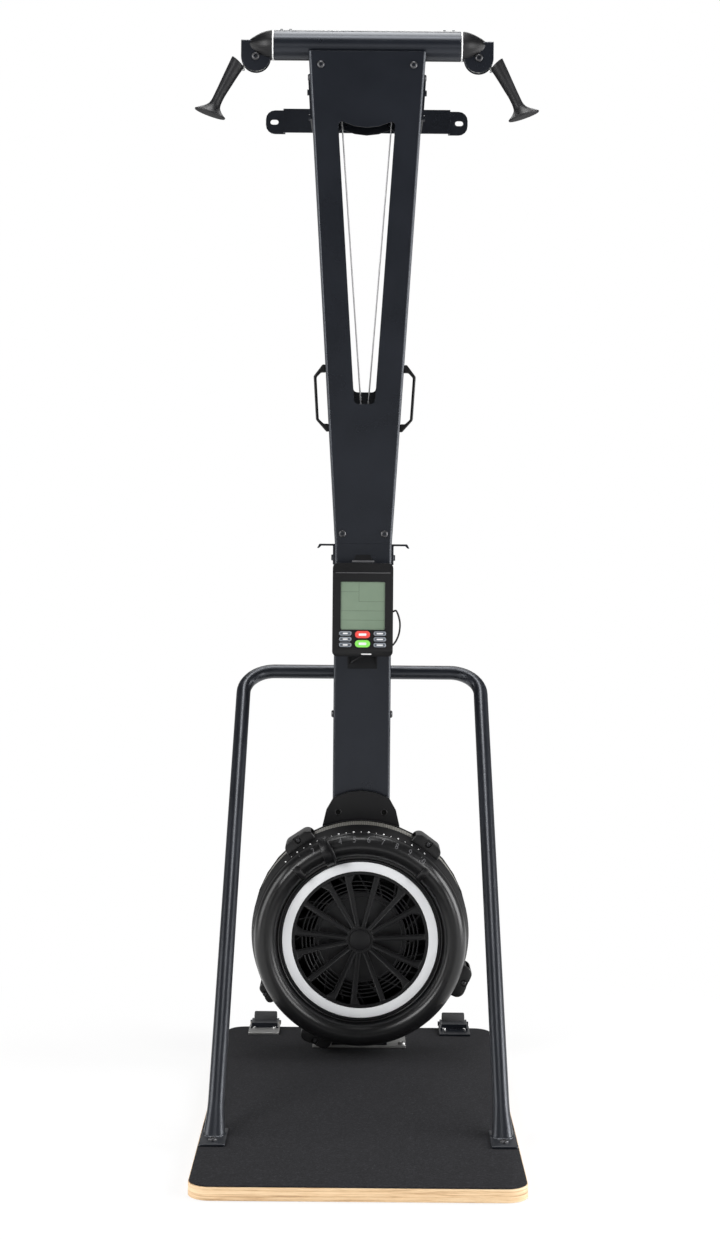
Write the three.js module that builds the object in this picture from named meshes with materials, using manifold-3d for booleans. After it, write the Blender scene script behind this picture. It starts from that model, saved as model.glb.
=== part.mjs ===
// Ski trainer: plywood deck, steel column, tapered cord channel, head tube with pull handles,
// air fan, raked tube brace, tilting monitor and wall bracket. Millimetres, +Z up, +Y away
// from the user, origin on the floor midway between the deck's front edge and the wall.
import * as THREE from 'three';
import { mergeVertices } from 'three/addons/utils/BufferGeometryUtils.js';
import Module from 'manifold-3d';

const wasm = await Module();
wasm.setup();

// Overall
const overallDepth = 1263;
const wallStandoff = 124;
const seatGap = 0.3;
const runGap = 0.4;
const overrun = 3;
const weldLap = 0.5;
const boltRadius = 6.5;
const boltHeight = 4;

// Facets of round shapes
const smallSides = 10;
const mediumSides = 16;
const largeSides = 36;
const arcSegments = 2;
const cordHalfSides = 4;
const tubeHalfSides = 8;
const bulgeSteps = 8;
const capFacets = 6;

// Deck
const deckWidth = 560;
const deckCorner = 38;
const boardThickness = 22;
const matThickness = 2.5;
const matInset = 1.5;

// Column foot and lower column
const footWidth = 192;
const footLength = 185;
const footThickness = 6;
const footBoltX = 88;
const footBoltInset = 12;
const columnWidth = 120;
const columnDepth = 100;
const columnWall = 3;
const columnCorner = 6;
const columnSetback = 4;
const jointHeight = 1063.5;
const spigotBelow = 60;
const spigotAbove = 110;
const braceBoltHeight = 701.5;

// Upper channel and its V slot
const channelTopDrop = 19.8;
const channelTopWidth = 247.5;
const plateThickness = 3;
const slotBottomRise = 292.9;
const slotTopDrop = 148.2;
const slotBottomWidth = 43.2;
const slotTopWidth = 120.2;
const slotCorner = 9;
const slotSag = 12;
const rearSlotRise = 323.4;
const jointBoltX = 44;
const jointBoltRise = 20;
const headBoltX = 97.4;
const headBoltDrop = 48.6;
const sideBoltDrop = 67.8;

// Head tube, trim rings and bullet caps
const headRadius = 31.75;
const headWall = 2;
const headLength = 394;
const headTubeHeight = 2117.2;
const headTubeSetback = 42;
const ringWidth = 4.6;
const ringProud = 0.6;
const capLength = 62;
const capSpigot = 22;
const capBore = 8;
const bulletPower = 1.7;
const headScrewRadius = 5;
const headScrewHeight = 2.6;
const headScrewSpread = 19;
const headScrewInset = 15;
const cordWindowLength = 68;

// Pulleys, cords and cord drums
const cordRadius = 1.6;
const grooveDepth = 2.8;
const outerPulleyX = 236;
const outerPulleyPitch = 26;
const outerPulleyRim = 28.5;
const outerPulleyWidth = 14;
const innerPulleyX = 79.2;
const innerPulleyPitch = 18;
const innerPulleyRim = 20.5;
const innerPulleyWidth = 12;
const pulleyPin = 5;
const housingRadius = 31;
const housingRise = 35.9;
const housingDepth = 24;
const housingSlot = 18;
const housingFold = 5;
const blockWidth = 224;
const blockHeight = 44;
const blockThickness = 4;
const studCollar = 8;
const studHead = 3;
const guideRise = 122.5;
const guideThickness = 12;
const guideSpan = 34;
const guideHole = 3;
const guideOffsetX = 4;
const drumPitch = 20;
const drumRim = 25;
const drumWidth = 14;
const drumSpacing = 16;
const handleCordLength = 16.6;

// Pull handles: centre line, grip thickness and flare, from the top end to the rim
const handleTopX = 273;
const handleTopDrop = 34.7;
const handleReachX = 59;
const handleReachZ = 110;
const handleFlare = 67.6;
const handleRimThickness = 4;
const handleDome = 3;
const handleSides = 14;
const ferruleRadius = 2.6;
const ferruleLength = 9;

// Handle stations: shares of the reach across and down, shares of the flare for width and depth,
// tilt in degrees
const handleShares = [
  { across: 0, down: 0, width: 0.51, depth: 0.47, tilt: 44 },
  { across: 0.22, down: 0.21, width: 0.44, depth: 0.45, tilt: 40 },
  { across: 0.44, down: 0.43, width: 0.38, depth: 0.42, tilt: 36 },
  { across: 0.65, down: 0.64, width: 0.33, depth: 0.39, tilt: 32 },
  { across: 0.81, down: 0.82, width: 0.35, depth: 0.4, tilt: 28 },
  { across: 0.9, down: 0.91, width: 0.55, depth: 0.56, tilt: 23 },
  { across: 1, down: 1, width: 1, depth: 0.9, tilt: 19 },
];

// Wall bracket
const wallSpacing = 406.4;
const wallBarWidth = 444;
const wallBarHeight = 52;
const wallBarDrop = 109.9;
const wallBarFace = 366;
const wallBarStep = 20;
const wallSheet = 4;
const wallCorner = 20;
const wallSlotLength = 18;
const wallSlotWidth = 11;
const armThickness = 4;
const armHeight = 80;
const armReach = 62;
const armBoltDrop = 18;
const armBoltRise = 35.5;

// Carry handles and handle hooks
const carryRise = 236.5;
const carryHeight = 142;
const carryReach = 26.5;
const carryDepth = 22;
const carryArm = 16.5;
const carryBar = 6;
const carryBevelX = 20.5;
const carryBevelZ = 25;
const carryInnerBevel = 10;
const hookTopDrop = 1.5;
const hookLeg = 44;
const hookReach = 38;
const hookDrop = 9;
const hookThickness = 4;
const hookWidth = 26;
const hookBoltRise = 15;

// Monitor, its keys and its bracket
const monitorWidth = 124.7;
const monitorHeight = 192;
const monitorDepth = 32;
const monitorDrop = 135.5;
const monitorOffset = 98;
const monitorCorner = 10;
const monitorWall = 2.5;
const monitorBevelHeight = 20;
const monitorBevelDepth = 12;
const monitorSplit = 15;
const screenWidth = 91;
const screenHeight = 98.6;
const screenRise = 8.5;
const screenLedge = 1.2;
const lensThickness = 2;
const keyWidth = 25.5;
const keyHeight = 9;
const keyColumn = 35.5;
const keyTopDrop = 48.4;
const keyPitch = 11.8;
const mainKeyWidth = 31;
const mainKeyHeight = 15;
const mainKeyDrop = 50.6;
const mainKeyPitch = 18.9;
const keyProud = 1.5;
const keyDepth = 6;
const keyClearance = 0.5;
const bracketWidth = 62;
const bracketSheet = 3;
const bracketBelow = 127;
const bracketAbove = 86;
const bracketTabRise = 26;
const bracketTabWidth = 47;
const bracketTabCrown = 30;
const tiltPin = 4;
const tiltSetback = 46.5;
const tiltLugWidth = 4;
const tiltLugRadius = 9;
const leadRadius = 2;
const leadSteps = 14;
const leadLoop = 14.5;
const leadPlugDrop = 4;
const leadEndDrop = 115;
const leadEndX = 23;

// Fan: heights and depths run from the silver ring's front plane
const fanHeight = 264.3;
const fanDepth = 174;
const skirtRadius = 223;
const skirtSetback = 6.5;
const skirtLength = 67.5;
const skirtDraft = 10;
const shroudWall = 3;
const torusOuter = 212;
const torusInner = 168;
const torusBulge = 30;
const shroudLip = 140;
const ringOuter = 157.3;
const ringInner = 138.5;
const ringThickness = 4;
const grilleRim = 126;
const grilleHub = 27;
const grilleDepth = 8;
const spokeWidth = 12;
const spokeHubWidth = 9;
const spokeSpare = 2;
const pairHalfAngle = 9.2;
const spokeGusset = 12;
const armCount = 5;
const singleAngle = 75;
const guardDepth = 3;
const guardRingWidth = 3;
const guardPitch = 8;
const guardFirst = 84;
const hubCapRadius = 21;
const hubCapHeight = 3;
const damperInner = 158.8;
const damperOuter = 166;
const damperAngle = 111;
const leverWidth = 19;
const leverThickness = 5;
const leverGap = 1.2;
const finHeight = 20;
const finThickness = 5;
const leverEnd = 160;
const finStart = 20;
const finEnd = 130;
const finCrestStart = 40;
const finCrestEnd = 110;
const lugRise = 18;
const lugLength = 66;
const lugCorner = 16;
const lugSetback = 34;
const lugDepth = 68;

// Lugs: bearing in degrees, then shares of the rise and of the length
const lugShares = [
  { angle: 123.5, rise: 1, length: 1 },
  { angle: 53.7, rise: 1, length: 1 },
  { angle: -24, rise: 1, length: 1 },
  { angle: -113, rise: 1, length: 1 },
  { angle: -148, rise: 0.5, length: 0.65 },
];
const meshRadius = 221.5;
const meshThickness = 3;
const rearRimRadius = 224;
const rearDepth = 35.2;
const rearRimWidth = 8;
const rearRimRadiusInner = 190;
const rearBackRadius = 150;
const rearWall = 4;
const neckTop = 282.4;
const neckShoulder = 267.2;
const neckShoulderX = 58;
const neckWaist = 240.7;
const neckWaistX = 73;
const neckSpread = 80.5;
const neckSpreadRise = 208.7;
const neckDepth = 16;
const neckFoot = 100;
const neckHoleX = 48;
const neckHoleRise = 237;
const neckHoleRadius = 5;
const neckHoleDepth = 5;
const axleRadius = 10;
const flywheelRadius = 204;
const flywheelDisc = 4;
const flywheelHub = 78;
const flywheelCore = 30;
const flywheelSetback = 33;
const bladeCount = 20;
const bladeReach = 198;
const bladeDepth = 84;
const bladeThickness = 3;
const bladeLean = 22;
const lowerBracketWidth = 114;
const lowerBracketSheet = 4;
const lowerBracketBack = 68;
const lowerBracketTab = 38;
const axleClearance = 1;
const axleNutRadius = 15;
const axleNutWidth = 8;
const axleCollarWidth = 5;

// Brace
const braceRadius = 15;
const braceHalfWidth = 254;
const braceTopHeight = 784;
const braceStandoff = 44;
const braceFootLead = 293.5;
const braceBend = 65;
const bracePlateWidth = 46;
const bracePlateLength = 105;
const bracePlateThickness = 4;
const bracePlateLead = 70;
const braceBoltLead = 44;
const saddleWidth = 90;
const saddleHeight = 60;

// Transport rollers
const rollerX = 202;
const rollerRadius = 23.5;
const rollerWidth = 48;
const rollerHeight = 27;
const rollerOverhang = 29.5;
const rollerPin = 5;
const cheekThickness = 4;
const cheekRadius = 9;
const rollerPlateWidth = 65;
const rollerPlateLength = 78;
const rollerPlateSheet = 4;
const rollerBridgeLength = 30;
const rollerBridgeHeight = 14;

// Places worked out from the sizes above
const deckFrontY = -overallDepth / 2;
const wallY = overallDepth / 2;
const deckLength = overallDepth - wallStandoff;
const deckBackY = deckFrontY + deckLength;
const deckMidY = (deckFrontY + deckBackY) / 2;
const deckTopZ = boardThickness + seatGap + matThickness;
const columnBackY = deckBackY - columnSetback;
const columnFrontY = columnBackY - columnDepth;
const columnMidY = (columnFrontY + columnBackY) / 2;
const footTopZ = deckTopZ + seatGap + footThickness;
const columnBottomZ = footTopZ + seatGap;
const channelBottom = jointHeight + seatGap;
const channelTop = headTubeHeight - channelTopDrop;
const slotBottom = jointHeight + slotBottomRise;
const rearSlotBottom = jointHeight + rearSlotRise;
const slotTop = channelTop - slotTopDrop;
const guideHeight = jointHeight + spigotAbove + guideRise;
const carryBottom = jointHeight + carryRise;
const hookTop = jointHeight - hookTopDrop;
const wallBarZ = channelTop - wallBarDrop;
const armBottom = wallBarZ - wallBarHeight / 2 - weldLap;
const monitorMidZ = jointHeight - monitorDrop;
const bracketBottom = monitorMidZ - bracketBelow;
const bracketTop = monitorMidZ + bracketAbove;
const bracketTabTop = bracketTop + bracketTabRise;
const channelSlope = (channelTopWidth - columnWidth) / 2 / (channelTop - channelBottom);
const headTubeY = columnFrontY + headTubeSetback;
const outerPulleyZ = headTubeHeight - outerPulleyPitch;
const innerPulleyZ = headTubeHeight - headBoltDrop;
const fanFaceY = columnFrontY - fanDepth;
const skirtFrontY = fanFaceY + skirtSetback;
const skirtBackY = skirtFrontY + skirtLength;
const rearFrontY = columnFrontY - seatGap - rearDepth;
const monitorFrontY = columnFrontY - monitorOffset;

// Materials
const finishes = {
  powderCoat: new THREE.MeshStandardMaterial({ color: 0x1f2126, roughness: 0.5, metalness: 0.3 }),
  blackPlastic: new THREE.MeshStandardMaterial({ color: 0x18191b, roughness: 0.45, metalness: 0 }),
  blackRubber: new THREE.MeshStandardMaterial({ color: 0x202124, roughness: 0.75, metalness: 0 }),
  gripMat: new THREE.MeshStandardMaterial({ color: 0x36363a, roughness: 0.95, metalness: 0 }),
  plywood: new THREE.MeshStandardMaterial({ color: 0xdcb98a, roughness: 0.6, metalness: 0 }),
  zinc: new THREE.MeshStandardMaterial({ color: 0x9a9a98, roughness: 0.4, metalness: 0.8 }),
  steel: new THREE.MeshStandardMaterial({ color: 0xb9bbbd, roughness: 0.3, metalness: 1 }),
  brushedSilver: new THREE.MeshStandardMaterial({ color: 0xc4c5c7, roughness: 0.35, metalness: 0.6 }),
  whiteTrim: new THREE.MeshStandardMaterial({ color: 0xeeeeee, roughness: 0.4, metalness: 0 }),
  greyMesh: new THREE.MeshStandardMaterial({ color: 0x77756f, roughness: 0.5, metalness: 0.6 }),
  cord: new THREE.MeshStandardMaterial({ color: 0xc9c9c9, roughness: 0.8, metalness: 0 }),
  nylon: new THREE.MeshStandardMaterial({ color: 0xd8d8d2, roughness: 0.5, metalness: 0 }),
  lens: new THREE.MeshStandardMaterial({ color: 0x748a6e, roughness: 0.25, metalness: 0 }),
  redKey: new THREE.MeshStandardMaterial({ color: 0xe8453c, roughness: 0.5, metalness: 0 }),
  greenKey: new THREE.MeshStandardMaterial({ color: 0x86e05e, roughness: 0.5, metalness: 0 }),
  greyKey: new THREE.MeshStandardMaterial({ color: 0x8d9299, roughness: 0.5, metalness: 0 }),
};

const degrees = Math.PI / 180;

// Six times the volume inside a closed triangle mesh, negative when it is inside out
function signedVolume(points, faces) {
  const a = new THREE.Vector3();
  const b = new THREE.Vector3();
  const c = new THREE.Vector3();
  let volume = 0;
  for (let i = 0; i < faces.length; i += 3) {
    a.fromArray(points, faces[i] * 3);
    b.fromArray(points, faces[i + 1] * 3);
    c.fromArray(points, faces[i + 2] * 3);
    volume += a.dot(b.cross(c));
  }
  return volume;
}

// A closed geometry as a solid for cutting and joining, its seams welded and its faces outwards
function solid(geometry) {
  const bare = geometry.clone();
  bare.deleteAttribute('normal');
  bare.deleteAttribute('uv');
  const welded = mergeVertices(bare);
  const faces = [];
  const index = welded.index.array;
  for (let i = 0; i < index.length; i += 3) {
    const [a, b, c] = [index[i], index[i + 1], index[i + 2]];
    if (a !== b && b !== c && c !== a) faces.push(a, b, c);
  }
  const vertProperties = new Float32Array(welded.attributes.position.array);
  if (signedVolume(vertProperties, faces) < 0) faces.reverse();
  return new wasm.Manifold(new wasm.Mesh({
    numProp: 3,
    vertProperties,
    triVerts: new Uint32Array(faces),
  }));
}

function join(first, ...others) {
  let result = solid(first);
  for (const other of others) result = result.add(solid(other));
  return geometryOf(result);
}

function cut(base, ...tools) {
  let result = solid(base);
  for (const tool of tools) result = result.subtract(solid(tool));
  return geometryOf(result);
}

function overlapOf(first, second) {
  return geometryOf(solid(first).intersect(solid(second)));
}

function geometryOf(shape) {
  const { vertProperties, triVerts } = shape.getMesh();
  const geometry = new THREE.BufferGeometry();
  geometry.setAttribute('position', new THREE.BufferAttribute(new Float32Array(vertProperties), 3));
  geometry.setIndex(new THREE.BufferAttribute(new Uint32Array(triVerts), 1));
  geometry.computeVertexNormals();
  return geometry;
}

// The same shape on the other side of the X = 0 plane
function mirrored(geometry) {
  const copy = geometry.clone();
  copy.scale(-1, 1, 1);
  if (copy.index) copy.index.array.reverse();
  return copy;
}

// Outlines
function polygon(points) {
  return new THREE.Shape(points.map(([x, y]) => new THREE.Vector2(x, y)));
}

function roundedRectangle(width, height, radius, midX = 0, midY = 0) {
  const [x, y] = [width / 2 - radius, height / 2 - radius];
  const shape = new THREE.Shape();
  shape.absarc(midX + x, midY - y, radius, -Math.PI / 2, 0);
  shape.absarc(midX + x, midY + y, radius, 0, Math.PI / 2);
  shape.absarc(midX - x, midY + y, radius, Math.PI / 2, Math.PI);
  shape.absarc(midX - x, midY - y, radius, Math.PI, Math.PI * 1.5);
  return shape;
}

// Solids raised from outlines: upwards, from the front view, and from the side view
function raised(shape, height, segments = arcSegments) {
  const options = { depth: height, bevelEnabled: false, curveSegments: segments };
  return new THREE.ExtrudeGeometry(shape, options);
}

function facing(shape, depth, segments = arcSegments) {
  return raised(shape, depth, segments).rotateX(Math.PI / 2).translate(0, depth, 0);
}

function sideways(shape, width, segments = arcSegments) {
  return raised(shape, width, segments).rotateX(Math.PI / 2).rotateZ(Math.PI / 2)
    .translate(-width / 2, 0, 0);
}

function block(width, depth, height) {
  return new THREE.BoxGeometry(width, depth, height);
}

function rodX(radius, length, sides = smallSides) {
  return new THREE.CylinderGeometry(radius, radius, length, sides).rotateZ(Math.PI / 2);
}

function rodY(radius, length, sides = smallSides) {
  return new THREE.CylinderGeometry(radius, radius, length, sides);
}

function rodZ(radius, length, sides = smallSides) {
  return new THREE.CylinderGeometry(radius, radius, length, sides).rotateX(Math.PI / 2);
}

// A closed ring of section points [radius, y] turned about the Y axis
function turned(section, sides = largeSides) {
  const points = section.map(([radius, y]) => new THREE.Vector2(radius, y));
  return new THREE.LatheGeometry([...points, points[0]], sides);
}

// A route that is sampled at its own points, so a straight run needs only its two ends
class Route extends THREE.Curve {
  constructor(points) {
    super();
    this.points = points;
  }

  getUtoTmapping(u) {
    return u;
  }

  getPoint(t, target = new THREE.Vector3()) {
    const place = t * (this.points.length - 1);
    const start = Math.min(Math.floor(place), this.points.length - 2);
    return target.lerpVectors(this.points[start], this.points[start + 1], place - start);
  }

  getTangent(t, target = new THREE.Vector3()) {
    const near = Math.round(t * (this.points.length - 1));
    const before = this.points[Math.max(near - 1, 0)];
    const after = this.points[Math.min(near + 1, this.points.length - 1)];
    return target.subVectors(after, before).normalize();
  }
}

function tubeAlong(points, radius, halfSides = cordHalfSides) {
  const section = new THREE.Shape().absarc(0, 0, radius, 0, Math.PI * 2);
  const extrudePath = new Route(points);
  const options = { steps: points.length - 1, extrudePath, curveSegments: halfSides };
  return new THREE.ExtrudeGeometry(section, options);
}

const parts = new THREE.Group();

function assembly(x = 0, y = 0, z = 0) {
  const group = new THREE.Group();
  group.position.set(x, y, z);
  parts.add(group);
  return group;
}

function addPart(group, name, geometry, material) {
  const mesh = new THREE.Mesh(geometryOf(solid(geometry)), material);
  mesh.name = name;
  group.add(mesh);
  return mesh;
}

const sides = [
  { name: 'left', sign: -1 },
  { name: 'right', sign: 1 },
];

// Left-hand geometry as drawn, or its mirror image for the right
function onSide(side, geometry) {
  return side.sign < 0 ? geometry : mirrored(geometry);
}

// A folded tapered shape: each side is moved out evenly with height above a level
function spread(geometry, level) {
  const place = geometry.attributes.position;
  for (let i = 0; i < place.count; i += 1) {
    const out = Math.sign(place.getX(i)) * channelSlope * (place.getZ(i) - level);
    place.setX(i, place.getX(i) + out);
  }
  return geometry;
}

// Deck: plywood board and the grip mat glued on it
const deck = assembly(0, deckMidY, 0);
addPart(
  deck,
  'deck_board',
  raised(roundedRectangle(deckWidth, deckLength, deckCorner), boardThickness, 2 * arcSegments),
  finishes.plywood,
);
const matOutline = roundedRectangle(
  deckWidth - 2 * matInset,
  deckLength - 2 * matInset,
  deckCorner - matInset,
);
addPart(
  deck,
  'deck_grip_mat',
  raised(matOutline, matThickness, 2 * arcSegments).translate(0, 0, boardThickness + seatGap),
  finishes.gripMat,
);

// Column foot: zinc plate with its four bolts
function boltUp(radius, height, x, y, z) {
  return rodZ(radius, height + weldLap).translate(x, y, z + (height - weldLap) / 2);
}

const footY = columnBackY - footLength / 2;
const foot = assembly(0, footY, deckTopZ + seatGap);
const footBolts = [];
for (const x of [-footBoltX, footBoltX]) {
  for (const end of [-1, 1]) {
    const y = end * (footLength / 2 - footBoltInset);
    footBolts.push(boltUp(boltRadius, boltHeight, x, y, footThickness));
  }
}
addPart(
  foot,
  'foot_plate',
  join(block(footWidth, footLength, footThickness).translate(0, 0, footThickness / 2), ...footBolts),
  finishes.zinc,
);

// Fan lower bracket: a folded strap with a tab behind the fan's rear rim
const strapFront = columnBackY - footLength;
const strapBack = columnFrontY - seatGap;
const strapTabY = rearFrontY + rearRimWidth + seatGap;
const sheet = lowerBracketSheet;
const strapOutline = polygon([
  [strapFront, 0],
  [strapBack, 0],
  [strapBack, lowerBracketBack],
  [strapBack - sheet, lowerBracketBack],
  [strapBack - sheet, sheet],
  [strapTabY + sheet, sheet],
  [strapTabY + sheet, lowerBracketTab],
  [strapTabY, lowerBracketTab],
  [strapTabY, sheet],
  [strapFront, sheet],
]);
addPart(
  assembly(0, 0, columnBottomZ),
  'fan_lower_bracket',
  sideways(strapOutline, lowerBracketWidth),
  finishes.powderCoat,
);

// Lower column: box tube whose spigot stands up inside the upper channel
function boxTube(width, depth, wall, corner, height) {
  const outline = roundedRectangle(width, depth, corner);
  const inner = corner - wall > 0 ? corner - wall : corner / 2;
  outline.holes.push(roundedRectangle(width - 2 * wall, depth - 2 * wall, inner));
  return raised(outline, height, 2);
}

const spigotWidth = columnWidth - 2 * (plateThickness + seatGap);
const spigotDepth = columnDepth - 2 * (plateThickness + seatGap);
const columnLength = jointHeight - columnBottomZ;
const weldWidth = columnWidth - 2 * columnWall + weldLap;
const weldDepth = columnDepth - 2 * columnWall + weldLap;
const weldWall = columnWall + (weldWidth - spigotWidth) / 2;
const spigot = boxTube(spigotWidth, spigotDepth, columnWall, columnCorner, spigotBelow + spigotAbove);
const collar = boxTube(weldWidth, weldDepth, weldWall, columnCorner, spigotBelow);
const axleHole = rodY(axleRadius + axleClearance, columnDepth + 2 * overrun, mediumSides);
const braceBolts = [-1, 1].map((side) => {
  const x = side * (columnWidth / 2 + (boltHeight - weldLap) / 2);
  return rodX(boltRadius, boltHeight + weldLap).translate(x, 0, braceBoltHeight - columnBottomZ);
});
addPart(
  assembly(0, columnMidY, columnBottomZ),
  'lower_column',
  join(
    cut(
      boxTube(columnWidth, columnDepth, columnWall, columnCorner, columnLength),
      axleHole.translate(0, 0, fanHeight - columnBottomZ),
    ),
    collar.translate(0, 0, columnLength - spigotBelow),
    spigot.translate(0, 0, columnLength - spigotBelow),
    ...braceBolts,
  ),
  finishes.powderCoat,
);

// Upper channel: folded front and sides, open at the back, tapering outwards with height
function slotOutline(bottom) {
  const high = slotTopWidth / 2;
  const slope = (slotTopWidth - slotBottomWidth) / 2 / (slotTop - slotBottom);
  const low = slotBottomWidth / 2 + slope * (bottom - slotBottom);
  const shape = new THREE.Shape();
  shape.moveTo(slotCorner - low, bottom);
  shape.lineTo(low - slotCorner, bottom);
  shape.quadraticCurveTo(low, bottom, low + slope * slotCorner, bottom + slotCorner);
  shape.lineTo(high - slope * slotCorner, slotTop - slotCorner);
  shape.quadraticCurveTo(high, slotTop, high - slotCorner, slotTop);
  shape.quadraticCurveTo(0, slotTop - 2 * slotSag, slotCorner - high, slotTop);
  shape.quadraticCurveTo(-high, slotTop, slope * slotCorner - high, slotTop - slotCorner);
  shape.lineTo(-low - slope * slotCorner, bottom + slotCorner);
  shape.quadraticCurveTo(-low, bottom, slotCorner - low, bottom);
  return shape;
}

function channelHalfWidth(z) {
  return columnWidth / 2 + channelSlope * (z - channelBottom);
}

const half = columnWidth / 2;
const bend = columnCorner;
const innerBend = columnCorner - plateThickness;
const channelFront = columnFrontY;
const channelBack = columnBackY - plateThickness - seatGap;
const channelPlan = new THREE.Shape();
channelPlan.moveTo(-half, channelBack);
channelPlan.lineTo(-half, channelFront + bend);
channelPlan.absarc(bend - half, channelFront + bend, bend, Math.PI, Math.PI * 1.5);
channelPlan.absarc(half - bend, channelFront + bend, bend, -Math.PI / 2, 0);
channelPlan.lineTo(half, channelBack);
channelPlan.lineTo(half - plateThickness, channelBack);
channelPlan.absarc(half - bend, channelFront + bend, innerBend, 0, -Math.PI / 2, true);
channelPlan.absarc(bend - half, channelFront + bend, innerBend, Math.PI * 1.5, Math.PI, true);
channelPlan.lineTo(plateThickness - half, channelBack);
const channelSheet = spread(
  raised(channelPlan, channelTop - channelBottom, 2).translate(0, 0, channelBottom),
  channelBottom,
);

function frontBolt(x, z) {
  const y = columnFrontY - (boltHeight - weldLap) / 2;
  return rodY(boltRadius, boltHeight + weldLap).translate(x, y, z);
}

function sideBolt(side, y, z, out) {
  const x = side * (channelHalfWidth(z) + out + (boltHeight - weldLap) / 2);
  return rodX(boltRadius, boltHeight + 2 * weldLap).translate(x, y, z);
}

const channelBolts = [-1, 1].flatMap((side) => [
  frontBolt(side * jointBoltX, channelBottom + jointBoltRise),
  frontBolt(side * headBoltX, innerPulleyZ),
  sideBolt(side, headTubeY, headTubeHeight - sideBoltDrop, 0),
]);
const headSeat = rodX(headRadius + seatGap, channelTopWidth + 2 * overrun, largeSides);
addPart(
  assembly(),
  'upper_channel',
  join(
    cut(
      channelSheet,
      facing(slotOutline(slotBottom), bend + overrun, 2 * arcSegments)
        .translate(0, channelFront - overrun, 0),
      headSeat.translate(0, headTubeY, headTubeHeight),
    ),
    ...channelBolts,
  ),
  finishes.powderCoat,
);

// Rear plate: closes the channel behind and carries its own V slot
const rearOutline = polygon([
  [-half, channelBottom],
  [half, channelBottom],
  [channelHalfWidth(channelTop), channelTop],
  [-channelHalfWidth(channelTop), channelTop],
]);
rearOutline.holes.push(slotOutline(rearSlotBottom));
addPart(
  assembly(0, columnBackY - plateThickness, 0),
  'rear_plate',
  facing(rearOutline, plateThickness, 2 * arcSegments),
  finishes.powderCoat,
);

// Head tube: open round tube with cord windows below and four small screws on top
function pipeX(outer, inner, length, sidesRound = largeSides) {
  const section = [[inner, -length / 2], [outer, -length / 2], [outer, length / 2], [inner, length / 2]];
  return turned(section, sidesRound).rotateZ(-Math.PI / 2);
}

const headGroup = assembly(0, headTubeY, headTubeHeight);
const headInner = headRadius - headWall;
const cordSlotDepth = housingDepth;
const cordWindows = [-1, 1].map((side) => block(cordWindowLength, cordSlotDepth, headRadius + overrun)
  .translate(side * innerPulleyX, 0, -(headRadius + overrun) / 2));
const headScrews = [-1, 1].flatMap((side) => [0, headScrewSpread].map((inward) => {
  const x = side * (headLength / 2 - headScrewInset - inward);
  return new THREE.CylinderGeometry(headScrewRadius / 2, headScrewRadius, headScrewHeight + headWall)
    .toNonIndexed().rotateX(Math.PI / 2)
    .translate(x, 0, headRadius + (headScrewHeight - headWall) / 2);
}));
addPart(
  headGroup,
  'head_tube',
  join(cut(pipeX(headRadius, headInner, headLength), ...cordWindows), ...headScrews),
  finishes.powderCoat,
);

// Trim rings and bullet caps at the two ends of the head tube
const ringStart = headLength / 2 + seatGap;
const capStart = ringStart + ringWidth + seatGap;
const housingTop = housingRise - outerPulleyPitch;
const capSpigotRadius = headInner - seatGap;
const capSection = [[0, -capSpigot], [capSpigotRadius, -capSpigot], [capSpigotRadius, 0]];
for (let i = 0; i <= capFacets; i += 1) {
  const t = i / capFacets;
  capSection.push([headRadius * (1 - t ** bulletPower), capLength * t]);
}
const capNotchTop = housingTop + seatGap;
const capNotchStart = outerPulleyX - housingRadius - seatGap - capStart;
const capNotchHeight = capNotchTop + headRadius + overrun;
for (const side of sides) {
  addPart(
    headGroup,
    `trim_ring_${side.name}`,
    pipeX(headRadius + ringProud, headInner, ringWidth)
      .translate(side.sign * (ringStart + ringWidth / 2), 0, 0),
    finishes.whiteTrim,
  );
  const bullet = new THREE.LatheGeometry(
    capSection.map(([radius, y]) => new THREE.Vector2(radius, y)),
    largeSides,
  ).rotateZ(Math.PI / 2);
  const notch = block(2 * capLength, housingDepth + 2 * seatGap, capNotchHeight)
    .translate(-capNotchStart - capLength, 0, capNotchTop - capNotchHeight / 2);
  const bore = rodX(capBore, 2 * capLength).translate(0, 0, -capBore);
  addPart(
    headGroup,
    `head_cap_${side.name}`,
    onSide(side, cut(bullet, notch, bore).translate(-capStart, 0, 0)),
    finishes.blackPlastic,
  );
}

// Pulley housings: a strap folded over the pulley with a pin through it
function housingFront() {
  const shape = new THREE.Shape();
  shape.absarc(0, 0, housingRadius, Math.PI, Math.PI * 2);
  shape.lineTo(housingRadius, housingRise);
  shape.lineTo(-housingRadius, housingRise);
  return shape;
}

function housingSide() {
  const outer = housingDepth / 2;
  const inner = housingSlot / 2;
  const low = -housingRadius;
  const ceiling = housingRise - (outer - inner);
  const shape = new THREE.Shape();
  shape.moveTo(-outer, low);
  shape.lineTo(-inner, low);
  shape.lineTo(-inner, housingRise - housingFold);
  shape.quadraticCurveTo(-inner, ceiling, housingFold - outer, ceiling);
  shape.lineTo(outer - housingFold, ceiling);
  shape.quadraticCurveTo(inner, ceiling, inner, housingRise - housingFold);
  shape.lineTo(inner, low);
  shape.lineTo(outer, low);
  shape.lineTo(outer, housingRise - housingFold);
  shape.quadraticCurveTo(outer, housingRise, outer - housingFold, housingRise);
  shape.lineTo(housingFold - outer, housingRise);
  shape.quadraticCurveTo(-outer, housingRise, -outer, housingRise - housingFold);
  return shape;
}

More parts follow.
